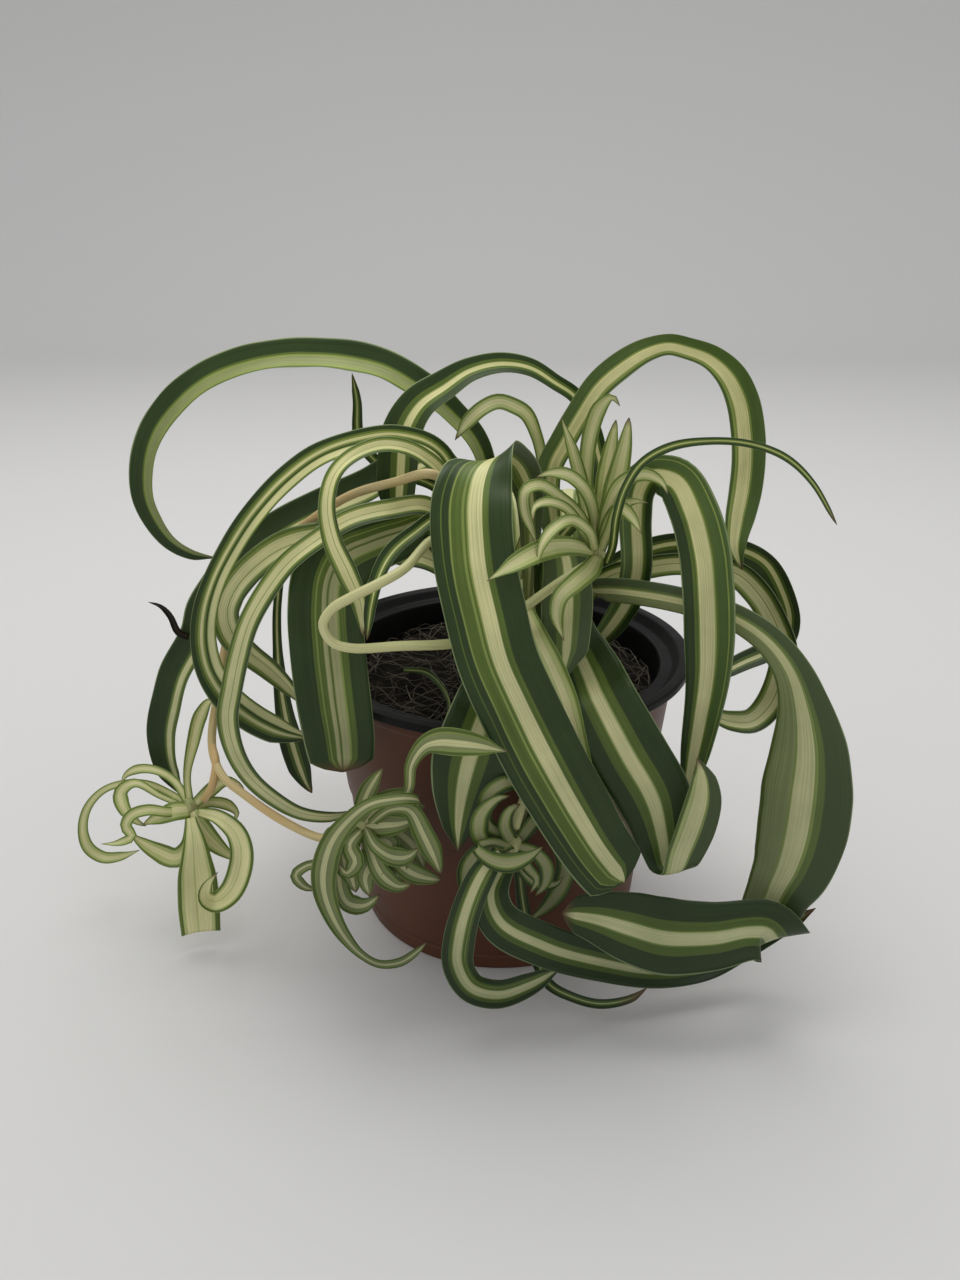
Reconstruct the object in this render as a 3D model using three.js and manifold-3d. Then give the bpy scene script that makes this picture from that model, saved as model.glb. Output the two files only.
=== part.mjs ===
// A potted spider plant: a variegated plant with four plantlets on arching stolons, growing in a
// black plastic nursery pot that hangs by its rim in a terracotta-coloured cover pot.
// Millimetres, +Z up. The origin is the centre of the cover pot's base, on the surface it stands
// on. +X is to the right and +Y away from the viewer.
import * as THREE from "three";
import { mergeVertices } from "three/addons/utils/BufferGeometryUtils.js";
import Module from "manifold-3d";

const manifold = await Module();
manifold.setup();

// ---- Driving dimensions, in millimetres ----
const GAP = 0.3; // clearance between pieces that touch
const LEAF_THICKNESS = 0.8;
const LEAF_STEPS = 26;
const FOLDED_LEAF_STEPS = 160;
const LEAFLET_STEPS = 3; // between neighbouring points of its route
const LEAFLET = { roll: [8, 8] }; // every leaflet of a plantlet turns from the viewer alike
const UNTURNED = { roll: [0, 0] };
const HEART_SIDES = 10;
const HEART_RINGS = 7;
const HEART_STRETCH = 1.3; // a plantlet's heart is this many times taller than it is wide
const STOLON_RADIUS = 1.4;
const STOLON_SIDES = 6;
const STOLON_STEPS = 26;
const ROUND_SEGMENTS = 40;
const MERGE_DISTANCE = 1e-4;

const COVER_POT = {
  baseRadius: 49.5,
  rimRadius: 59.5,
  height: 93.6,
  wall: 1.6,
  floor: 2.2,
  collarHeight: 49, // the collar's lower edge
  collarStep: 0.9,
};
const NURSERY_POT = {
  baseRadius: 44,
  shoulderRadius: 56,
  rimRadius: 65,
  rimHeight: 2.8,
  flangeRadius: 61,
  top: 98,
  wall: 1.2,
};
const SOIL = {
  top: 88,
  edgeRadius: 53.2,
  levelRadius: 46, // the surface is level as far out as this, and then slumps to the edge
  slump: 2.5,
  baseRadius: 41.6,
};
const CROWN = {
  x: 8,
  y: 2,
  baseRadius: 10,
  topRadius: 5.5,
  height: 32,
  footHeight: 3, // its sides are upright as far as this
  topBevel: 2,
};
const ROOT_RISE = 13; // a leaf follows the crown this far up before it arches away
const ROOT_LEAN = 3.2; // and leans out by this much on the way
const ROOT_WIDTH = 3.4;
const ROOT_CLEARANCE = 0.4; // between a leaf's base and the crown

// ---- Colours ----
const TERRACOTTA = 0x6b3a2a;
const BLACK = 0x17181a;
const PEAT = 0x211a14;
const CROWN_GREEN = 0xa9b07c;
const PALE_STEM = 0xb9b77c;
const PEACH_STEM = 0xd3a877;
const PLANTLET_CREAM = 0xa3ad72;
const PLANTLET_GREEN = 0x85975a;
const LEAF_TONES = {
  deep: 0x54683a, // dark green with a narrow cream stripe
  middle: 0x6f8049,
  light: 0x98a468, // mostly cream
  dried: 0x2b241c,
};
const LEAF_ROUGHNESS = 0.45;
const STOLON_ROUGHNESS = 0.5;
const POT_ROUGHNESS = 0.5;
const SOIL_ROUGHNESS = 0.95;

// ---- How a strip turns to the viewer ----
const SETTLING = 0.3;
const UNSURE = 0.35; // sine of the curve's angle to the line of sight, at which it starts to turn
const SURE = 0.85; // and from which it turns fully

// ---- The viewpoint that leaf routes are given from ----
// A route point is [column, row, depth, width]: where it is seen in a picture 960 wide and 1280
// high, its Y in millimetres, and the leaf's width there in millimetres.
const VIEW = {
  eye: new THREE.Vector3(-6.9, -329.9, 237.1),
  pitch: THREE.MathUtils.degToRad(22.6),
  focalLength: 1035,
  centreColumn: 480,
  centreRow: 640,
};
const VIEW_FORWARD = new THREE.Vector3(0, Math.cos(VIEW.pitch), -Math.sin(VIEW.pitch));
const VIEW_DOWN = new THREE.Vector3(0, -Math.sin(VIEW.pitch), -Math.cos(VIEW.pitch));

function placeOf([column, row, depth]) {
  const ray = VIEW_FORWARD.clone();
  ray.x += (column - VIEW.centreColumn) / VIEW.focalLength;
  ray.addScaledVector(VIEW_DOWN, (row - VIEW.centreRow) / VIEW.focalLength);
  return VIEW.eye.clone().addScaledVector(ray, (depth - VIEW.eye.y) / ray.y);
}

// ---- Solids ----
function closedGeometry(positions, triangles) {
  const geometry = new THREE.BufferGeometry();
  geometry.setAttribute("position", new THREE.Float32BufferAttribute(positions, 3));
  geometry.setIndex(triangles);
  return geometry;
}

function toSolid(geometry) {
  const bare = geometry.clone();
  bare.deleteAttribute("normal");
  bare.deleteAttribute("uv");
  const merged = mergeVertices(bare, MERGE_DISTANCE);
  return new manifold.Manifold(
    new manifold.Mesh({
      numProp: 3,
      vertProperties: merged.attributes.position.array,
      triVerts: new Uint32Array(merged.index.array),
    }),
  );
}

function toGeometry(solid) {
  const mesh = solid.getMesh();
  return closedGeometry(Array.from(mesh.vertProperties), Array.from(mesh.triVerts));
}

// The value at a share of the way through a list of evenly spread values.
function valueAt(values, share) {
  const place = share * (values.length - 1);
  const index = Math.min(Math.floor(place), values.length - 2);
  return THREE.MathUtils.lerp(values[index], values[index + 1], place - index);
}

// How far through a strip's points it is folded over on itself, from 0 to 1; 1 where it isn't.
function foldOf({ foldPoint, route }, points) {
  if (foldPoint === undefined) return 1;
  return (foldPoint + points.length - route.length) / (points.length - 1);
}

// The frames of a strip along a smooth curve: centre, tangent, side (its width's direction) and
// width. The strip faces the viewer, turned about the curve by leaf's roll; where the curve runs
// along the line of sight it keeps the turn that it has. Where firstSide is given, the strip starts
// with that side, and turns to the viewer over the first SETTLING of its length. A leaf's foldPoint
// lies where its curve runs along the line of sight, and past it the other face is seen.
function stripFrames(points, widths, leaf, steps, firstSide) {
  const curve = new THREE.CatmullRomCurve3(points, false, "centripetal");
  const fold = foldOf(leaf, points);
  const frames = [];
  let side = firstSide;
  let reversedLast = false;
  for (let i = 0; i <= steps; i += 1) {
    const along = i / steps;
    const t = curve.getUtoTmapping(along);
    const centre = curve.getPoint(t);
    const tangent = curve.getTangent(t);
    const turn = THREE.MathUtils.degToRad(valueAt(leaf.roll, along));
    const facing = new THREE.Vector3().crossVectors(tangent, centre.clone().sub(VIEW.eye).normalize());
    const sureness = THREE.MathUtils.smoothstep(facing.length(), UNSURE, SURE);
    facing.normalize().applyAxisAngle(tangent, turn);
    const reversed = side !== undefined && facing.dot(side) < 0;
    if (t <= fold && sureness === 1) reversedLast = reversed;
    if (t > fold ? !reversedLast : reversed) facing.negate();
    const settled = firstSide ? THREE.MathUtils.smoothstep(along, 0, SETTLING) : 1;
    const next = side ? side.clone().lerp(facing, settled * sureness) : facing;
    side = next.addScaledVector(tangent, -next.dot(tangent)).normalize();
    frames.push({ centre, tangent, side, width: valueAt(widths, t) });
  }
  return frames;
}

// Sweeps a closed section along frames. section(width) gives its corners as [across, through],
// counterclockwise when looked at from the far end.
function sweep(frames, section) {
  const positions = [];
  const triangles = [];
  let corners = 0;
  for (const { centre, tangent, side, width } of frames) {
    const through = new THREE.Vector3().crossVectors(tangent, side);
    const outline = section(width);
    corners = outline.length;
    for (const [a, b] of outline) {
      const corner = centre.clone().addScaledVector(side, a).addScaledVector(through, b);
      positions.push(corner.x, corner.y, corner.z);
    }
  }
  const last = (frames.length - 1) * corners;
  for (let i = 0; i < last; i += corners) {
    for (let j = 0; j < corners; j += 1) {
      const k = (j + 1) % corners;
      triangles.push(i + j, i + k, i + corners + k);
      triangles.push(i + j, i + corners + k, i + corners + j);
    }
  }
  for (let j = 1; j < corners - 1; j += 1) {
    triangles.push(0, j + 1, j);
    triangles.push(last, last + j, last + j + 1);
  }
  return closedGeometry(positions, triangles);
}

function bladeSection(width) {
  const a = width / 2;
  const b = LEAF_THICKNESS / 2;
  return [[a, b], [-a, b], [-a, -b], [a, -b]];
}

function stemSection(width) {
  return Array.from({ length: STOLON_SIDES }, (_, i) => {
    const angle = (2 * Math.PI * i) / STOLON_SIDES;
    return [(Math.cos(angle) * width) / 2, (Math.sin(angle) * width) / 2];
  });
}

// ---- Pots and soil ----
function lathe(profile) {
  const points = profile.map(([radius, height]) => new THREE.Vector2(radius, height));
  const turned = new THREE.LatheGeometry(points, ROUND_SEGMENTS);
  turned.rotateX(Math.PI / 2); // a lathe turns about Y
  return toGeometry(toSolid(turned));
}

function coverPotGeometry() {
  const { baseRadius, rimRadius, height, wall, floor, collarHeight, collarStep } = COVER_POT;
  const slope = (rimRadius - baseRadius) / height;
  const radiusAt = (z) => baseRadius + slope * z;
  return lathe([
    [0, 0],
    [baseRadius, 0],
    [radiusAt(collarHeight) - collarStep, collarHeight],
    [radiusAt(collarHeight), collarHeight],
    [rimRadius, height],
    [rimRadius - wall, height],
    [radiusAt(floor) - wall, floor],
    [0, floor],
  ]);
}

function nurseryPotGeometry() {
  const { baseRadius, shoulderRadius, flangeRadius, rimRadius, rimHeight, top, wall } = NURSERY_POT;
  const base = COVER_POT.floor + GAP;
  const shoulder = COVER_POT.height + GAP;
  return lathe([
    [0, base],
    [baseRadius, base],
    [shoulderRadius, shoulder],
    [flangeRadius, shoulder],
    [flangeRadius, top - rimHeight],
    [rimRadius, top - rimHeight],
    [rimRadius, top - wall / 2],
    [rimRadius - wall / 2, top],
    [flangeRadius, top],
    [flangeRadius - 2 * wall, shoulder + wall],
    [shoulderRadius - wall, shoulder + wall],
    [baseRadius - wall, base + wall],
    [0, base + wall],
  ]);
}

function soilGeometry() {
  const { top, edgeRadius, levelRadius, baseRadius, slump } = SOIL;
  const base = COVER_POT.floor + NURSERY_POT.wall + 2 * GAP;
  return lathe([
    [0, base],
    [baseRadius, base],
    [edgeRadius, top - slump],
    [levelRadius, top],
    [0, top],
  ]);
}

function crownGeometry() {
  const { baseRadius, topRadius, height, footHeight, topBevel } = CROWN;
  return lathe([
    [0, 0],
    [baseRadius, 0],
    [baseRadius, footHeight],
    [topRadius, height - topBevel],
    [topRadius - topBevel, height],
    [0, height],
  ]);
}

// ---- Leaves and stolons that grow from the crown ----
// root is [azimuth in degrees, height above the crown's base]: azimuth 0 is +X, 90 is +Y.
function rootOf([azimuth, height], halfThickness) {
  const angle = THREE.MathUtils.degToRad(azimuth);
  const outward = new THREE.Vector3(Math.cos(angle), Math.sin(angle), 0);
  const side = new THREE.Vector3(-Math.sin(angle), Math.cos(angle), 0);
  const tapered = CROWN.height - CROWN.topBevel - CROWN.footHeight;
  const share = Math.max(0, height - CROWN.footHeight) / tapered;
  const surface = THREE.MathUtils.lerp(CROWN.baseRadius, CROWN.topRadius, share);
  const start = new THREE.Vector3(CROWN.x, CROWN.y, SOIL.top + GAP + height);
  start.addScaledVector(outward, surface + ROOT_CLEARANCE + halfThickness);
  const rise = start.clone().addScaledVector(outward, ROOT_LEAN);
  rise.z += ROOT_RISE;
  return { start, rise, side };
}

function stepsOf({ foldPoint }) {
  return foldPoint === undefined ? LEAF_STEPS : FOLDED_LEAF_STEPS;
}

function motherLeafGeometry(leaf) {
  const { start, rise, side } = rootOf(leaf.root, LEAF_THICKNESS / 2);
  const points = [start, rise, ...leaf.route.map(placeOf)];
  const widths = [ROOT_WIDTH, ROOT_WIDTH, ...leaf.route.map((point) => point[3])];
  return sweep(stripFrames(points, widths, leaf, stepsOf(leaf), side), bladeSection);
}

function freeLeafGeometry(leaf) {
  const widths = leaf.route.map((point) => point[3]);
  return sweep(stripFrames(leaf.route.map(placeOf), widths, leaf, stepsOf(leaf)), bladeSection);
}

function stolonGeometry({ root, route, branch }) {
  const { start, rise } = rootOf(root, STOLON_RADIUS);
  const tube = (points) => {
    const widths = points.map(() => 2 * STOLON_RADIUS);
    return toSolid(sweep(stripFrames(points, widths, UNTURNED, STOLON_STEPS), stemSection));
  };
  let solid = tube([start, rise, ...route.map(placeOf)]);
  if (branch) solid = solid.add(tube(branch.map(placeOf)));
  return toGeometry(solid);
}

const LEAVES = {
  leaf_arch_left: { tone: "middle", root: [150, 20], roll: [30, 50], route: [
    [480, 450, 4, 8], [450, 412, 5, 10], [420, 388, 6, 11], [385, 368, 7, 12], [350, 359, 8, 12],
    [315, 356, 9, 12], [280, 357, 10, 12], [240, 365, 11, 12], [205, 380, 12, 12],
    [175, 405, 13, 12], [155, 433, 14, 12], [146, 465, 15, 11], [148, 502, 16, 10],
    [168, 537, 17, 8], [190, 552, 17, 6], [216, 558, 18, 2],
  ] },
  leaf_left_hoop: { tone: "middle", root: [188, 10], roll: [25, 30], route: [
    [440, 455, -22, 7], [400, 438, -24, 7], [360, 442, -25, 7.5], [320, 456, -26, 7.5],
    [285, 482, -27, 8], [255, 515, -28, 8], [235, 545, -28, 8], [217, 580, -29, 8],
    [207, 615, -29, 9], [206, 645, -30, 9.5], [213, 672, -31, 10], [230, 696, -32, 11],
    [255, 716, -33, 11], [283, 730, -34, 10], [310, 738, -34, 7],
  ] },
  leaf_pale_loop: { tone: "light", root: [240, 10], roll: [20, 35], route: [
    [486, 600, -18, 3.6], [462, 556, -26, 5], [430, 508, -30, 6], [390, 510, -36, 6.5],
    [350, 520, -41, 6.5], [318, 540, -44, 6.5], [290, 562, -46, 6.5], [268, 590, -47, 7],
    [250, 622, -48, 7], [240, 655, -48, 7.5], [233, 690, -49, 7.5], [229, 720, -49, 7.5],
    [236, 752, -50, 7], [252, 778, -50, 6.5], [275, 798, -51, 6], [300, 812, -51, 5],
    [330, 816, -52, 4], [352, 811, -52, 2],
  ] },
  leaf_left_broad: { tone: "deep", root: [210, 0], roll: [0, 5], route: [
    [455, 560, -17, 9], [430, 523, -22, 14], [400, 530, -29, 18], [370, 540, -33, 20],
    [345, 552, -37, 22], [330, 577, -41, 22], [326, 610, -47, 22], [328, 650, -51, 22],
    [334, 700, -54, 22], [340, 742, -56, 21], [343, 772, -57, 18],
  ] },
  leaf_left_droop: { tone: "deep", root: [140, 0], roll: [20, 20], route: [
    [440, 545, 16, 5], [400, 520, 19, 5], [330, 530, 18, 4], [285, 565, 13, 3.5], [278, 600, 7, 3],
    [278, 650, 0, 3.5], [283, 700, -5, 6], [293, 745, -8, 9], [305, 780, -11, 8],
    [312, 793, -12, 5],
  ] },
  leaf_twisted_pale: { tone: "light", root: [197, 20], roll: [30, 30], route: [
    [443, 475, -30, 5], [425, 458, -33, 5], [405, 448, -36, 5], [380, 446, -39, 5],
    [352, 457, -43, 5], [335, 475, -47, 5], [328, 505, -51, 5.5], [334, 540, -53, 6.5],
    [349, 573, -55, 7], [361, 603, -57, 5.5], [363, 636, -58, 2.5],
  ] },
  leaf_slender_green: { tone: "middle", root: [222, 20], roll: [20, 20], route: [
    [492, 583, -28, 3], [474, 550, -35, 3.5], [445, 515, -39, 4], [414, 533, -46, 4.5],
    [392, 552, -50, 5], [379, 575, -55, 4.5], [371, 605, -60, 3.5], [367, 640, -61.5, 2.5],
  ] },
  leaf_left_cascade: { tone: "deep", root: [163, 10], roll: [25, 30], route: [
    [440, 460, 8, 9], [400, 468, 8, 11], [365, 488, 8, 12], [325, 505, 7, 12],
    [290, 522, 6, 12], [262, 541, 5, 12], [238, 560, 4, 12], [215, 590, 2, 12],
    [203, 610, 0, 12], [197, 635, -2, 12], [176, 675, -4, 12], [168, 705, -5, 12],
    [163, 735, -6, 11], [167, 765, -7, 9], [182, 795, -8, 5],
  ] },
  leaf_left_low: { tone: "light", root: [175, 0], roll: [30, 35], route: [
    [470, 590, -3, 8], [430, 560, -8, 10], [400, 553, -9, 11], [370, 547, -10, 11],
    [340, 538, -10, 11], [310, 540, -11, 11], [280, 550, -11, 11], [255, 568, -12, 11],
    [236, 590, -12, 11], [228, 612, -13, 11], [234, 635, -14, 11], [250, 652, -15, 10],
    [270, 668, -16, 9], [290, 688, -17, 6], [302, 705, -17, 2],
  ] },
  leaf_middle_arch: { tone: "deep", root: [60, 20], roll: [20, 30], route: [
    [600, 480, 4, 7], [597, 450, 4, 6], [590, 425, 3, 6], [575, 397, 2, 5], [555, 383, 1, 5],
    [530, 368, 0, 6], [500, 364, -2, 7], [470, 371, -4, 8], [445, 387, -7, 10], [420, 405, -10, 12],
    [405, 432, -13, 14], [400, 480, -16, 14], [398, 540, -18, 10],
  ] },
  leaf_right_arch: { tone: "middle", root: [15, 20], roll: [20, 30], route: [
    [548, 470, -10, 9], [562, 440, -10, 9], [578, 412, -9, 9], [596, 385, -8, 9], [620, 364, -7, 9],
    [645, 349, -6, 8], [668, 343, -6, 7], [688, 347, -6, 7], [712, 356, -6, 8], [732, 374, -7, 10],
    [745, 400, -8, 11], [750, 430, -9, 12], [751, 460, -10, 12], [748, 490, -12, 12],
    [742, 520, -15, 10], [738, 548, -19, 7], [742, 570, -21, 3],
  ] },
  leaf_right_back: { tone: "deep", root: [45, 0], roll: [25, 35], route: [
    [600, 575, 6, 8], [640, 552, 6, 9], [680, 543, 5, 9], [735, 548, 3, 9], [765, 562, 2, 9],
    [782, 590, 1, 9], [790, 620, 0, 9], [785, 640, -1, 9], [768, 652, -2, 9],
    [745, 662, -3, 8], [725, 672, -4, 7], [697, 684, -5, 3],
  ] },
  leaf_right_hoop: { tone: "light", root: [15, 0], roll: [20, 30], route: [
    [605, 578, -6, 8], [650, 566, -8, 8], [685, 563, -9, 8], [735, 572, -11, 9],
    [758, 592, -12, 10], [775, 620, -13, 10], [785, 650, -14, 10], [781, 680, -15, 10],
    [770, 706, -16, 11], [752, 722, -17, 10], [730, 722, -17, 8], [708, 715, -18, 5],
    [692, 714, -18, 3],
  ] },
  leaf_right_tall: { tone: "middle", root: [346, 0], roll: [10, 10], route: [
    [590, 645, -12, 8], [620, 612, -16, 9], [635, 575, -20, 10], [635, 520, -26, 10],
    [638, 490, -32, 10], [650, 474, -38, 11], [677, 480, -42, 13], [694, 510, -45, 14],
    [705, 550, -47, 15], [709, 590, -49, 15], [710, 640, -50, 15], [708, 680, -51, 13],
    [702, 720, -52, 11], [695, 755, -53, 9], [688, 785, -54, 5], [679, 812, -55, 2],
  ] },
  leaf_right_sweep: { tone: "middle", root: [338, 10], roll: [15, 0], foldPoint: 15, route: [
    [580, 592, -14, 8], [605, 590, -24, 8], [645, 594, -34, 8], [690, 603, -40, 8],
    [735, 618, -44, 8], [770, 642, -48, 9], [792, 672, -52, 11], [803, 705, -55, 15],
    [808, 745, -58, 22], [806, 790, -61, 27], [801, 830, -63, 27], [790, 868, -65, 24],
    [777, 894, -66, 19], [769, 917, -67, 17.5], [773, 938, -69, 21], [775, 941, -72.5, 22],
    [766, 931, -76, 19], [748, 930, -77.5, 17], [712, 936, -78, 20], [665, 936, -78, 23],
    [630, 927, -78, 21], [598, 918, -77.5, 16], [562, 913, -77.5, 8],
  ] },
  leaf_front_broad: { tone: "deep", root: [275, 20], roll: [0, 5], route: [
    [530, 500, -12, 9], [523, 476, -18, 12], [512, 460, -27, 11], [496, 456, -36, 14],
    [481, 468, -45, 18.5], [472, 502, -54, 22.5], [474, 555, -61, 22.5], [485, 610, -66, 22.5],
    [498, 660, -70, 22.5], [520, 710, -74, 22.5], [545, 760, -76.5, 22.5], [572, 808, -78, 22],
    [596, 848, -79, 21], [611, 868, -80, 20], [624, 882, -80.5, 18],
  ] },
  leaf_front_right: { tone: "deep", root: [318, 0], roll: [0, 0], route: [
    [572, 612, -22, 8], [577, 642, -34, 16], [590, 675, -47, 20], [600, 700, -60, 21],
    [630, 755, -67, 22], [655, 800, -69, 22], [664, 838, -70, 17], [668, 866, -72, 11],
    [676, 872, -76, 9], [686, 852, -78, 10], [697, 825, -79, 11], [704, 798, -79, 10],
    [703, 774, -79, 6], [697, 758, -79, 2],
  ] },
  leaf_front_short: { tone: "deep", root: [298, 0], roll: [0, 0], route: [
    [545, 578, -18, 7], [556, 542, -22, 12], [565, 560, -27, 14], [567, 600, -36, 16],
    [565, 650, -47, 14], [562, 682, -54, 5],
  ] },
  leaf_front_slip: { tone: "light", root: [280, 10], roll: [0, 0], route: [
    [524, 605, -28, 4], [533, 624, -42, 5], [541, 642, -53, 6], [551, 662, -61, 6.5],
    [566, 698, -68.5, 6.5], [577, 738, -71, 5.5], [587, 774, -72.5, 4], [595, 802, -73, 1.5],
  ] },
  leaf_front_left: { tone: "deep", root: [248, 0], roll: [0, 0], route: [
    [508, 655, -24, 11], [500, 680, -45, 17], [490, 705, -63, 20], [480, 735, -69, 22],
    [470, 765, -70, 23], [463, 795, -70.5, 18], [459, 825, -70.5, 10], [458, 852, -70.5, 3],
  ] },
  leaf_top_curl: { tone: "light", root: [105, 20], roll: [20, 20], route: [
    [545, 480, 4, 4], [542, 460, 1, 4], [536, 435, -2, 4], [526, 414, -3, 5], [513, 406, -4, 5],
    [498, 402, -5, 5], [482, 409, -7, 5], [468, 422, -8, 5], [455, 440, -10, 2],
  ] },
  leaf_spike: { tone: "deep", root: [130, 10], roll: [0, 0], route: [
    [440, 490, 18, 4], [385, 468, 18, 4], [360, 440, 18, 4], [357, 400, 18, 3],
    [352, 373, 18, 1.5],
  ] },
  leaf_back_left: { tone: "deep", root: [120, 0], roll: [0, 0], route: [
    [455, 555, 28, 10], [415, 535, 48, 12], [372, 565, 70, 12], [345, 630, 82, 12],
    [336, 700, 88, 5],
  ] },
  leaf_back_centre: { tone: "deep", root: [97, 10], roll: [0, 0], route: [
    [522, 540, 20, 12], [520, 500, 32, 15], [510, 490, 50, 15], [497, 530, 70, 14],
    [487, 610, 83, 13], [490, 660, 88, 11], [492, 710, 90, 4],
  ] },
  leaf_back_right: { tone: "deep", root: [75, 0], roll: [0, 0], route: [
    [566, 560, 18, 11], [568, 505, 28, 14], [570, 492, 46, 14], [568, 545, 70, 12],
    [566, 645, 82, 9], [565, 690, 85, 4],
  ] },
};

const STOLONS = {
  stolon_front_loop: { colour: PALE_STEM, root: [248, 20], route: [
    [482, 568, -44], [447, 537, -47], [432, 540, -48], [405, 568, -58], [380, 583, -64],
    [350, 598, -66], [332, 609, -66], [323, 625, -66], [332, 642, -66], [350, 648, -66],
    [400, 646, -63], [455, 643, -58], [500, 630, -54], [527, 606, -47], [560, 582, -42], [585, 566, -37],
  ] },
  stolon_left_pair: { colour: PEACH_STEM, root: [215, 10], route: [
    [478, 560, -19], [450, 488, -35], [431, 474, -39], [395, 482, -33], [345, 498, -13], [300, 528, -3],
    [260, 560, -3], [232, 620, -4], [218, 690, -8], [212, 745, -16], [222, 775, -27],
    [245, 795, -36], [285, 822, -48], [322, 838, -57], [339, 835, -60],
  ], branch: [[212, 745, -16], [216, 765, -23], [212, 786, -25], [204.5, 799, -20.5]] },
  stolon_front: { colour: PALE_STEM, root: [270, 0], route: [
    [528, 640, -30], [534, 670, -47], [538, 700, -60], [539, 732, -67.5], [533, 770, -70],
    [522, 804, -71], [515, 827, -71],
  ] },
};

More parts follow.
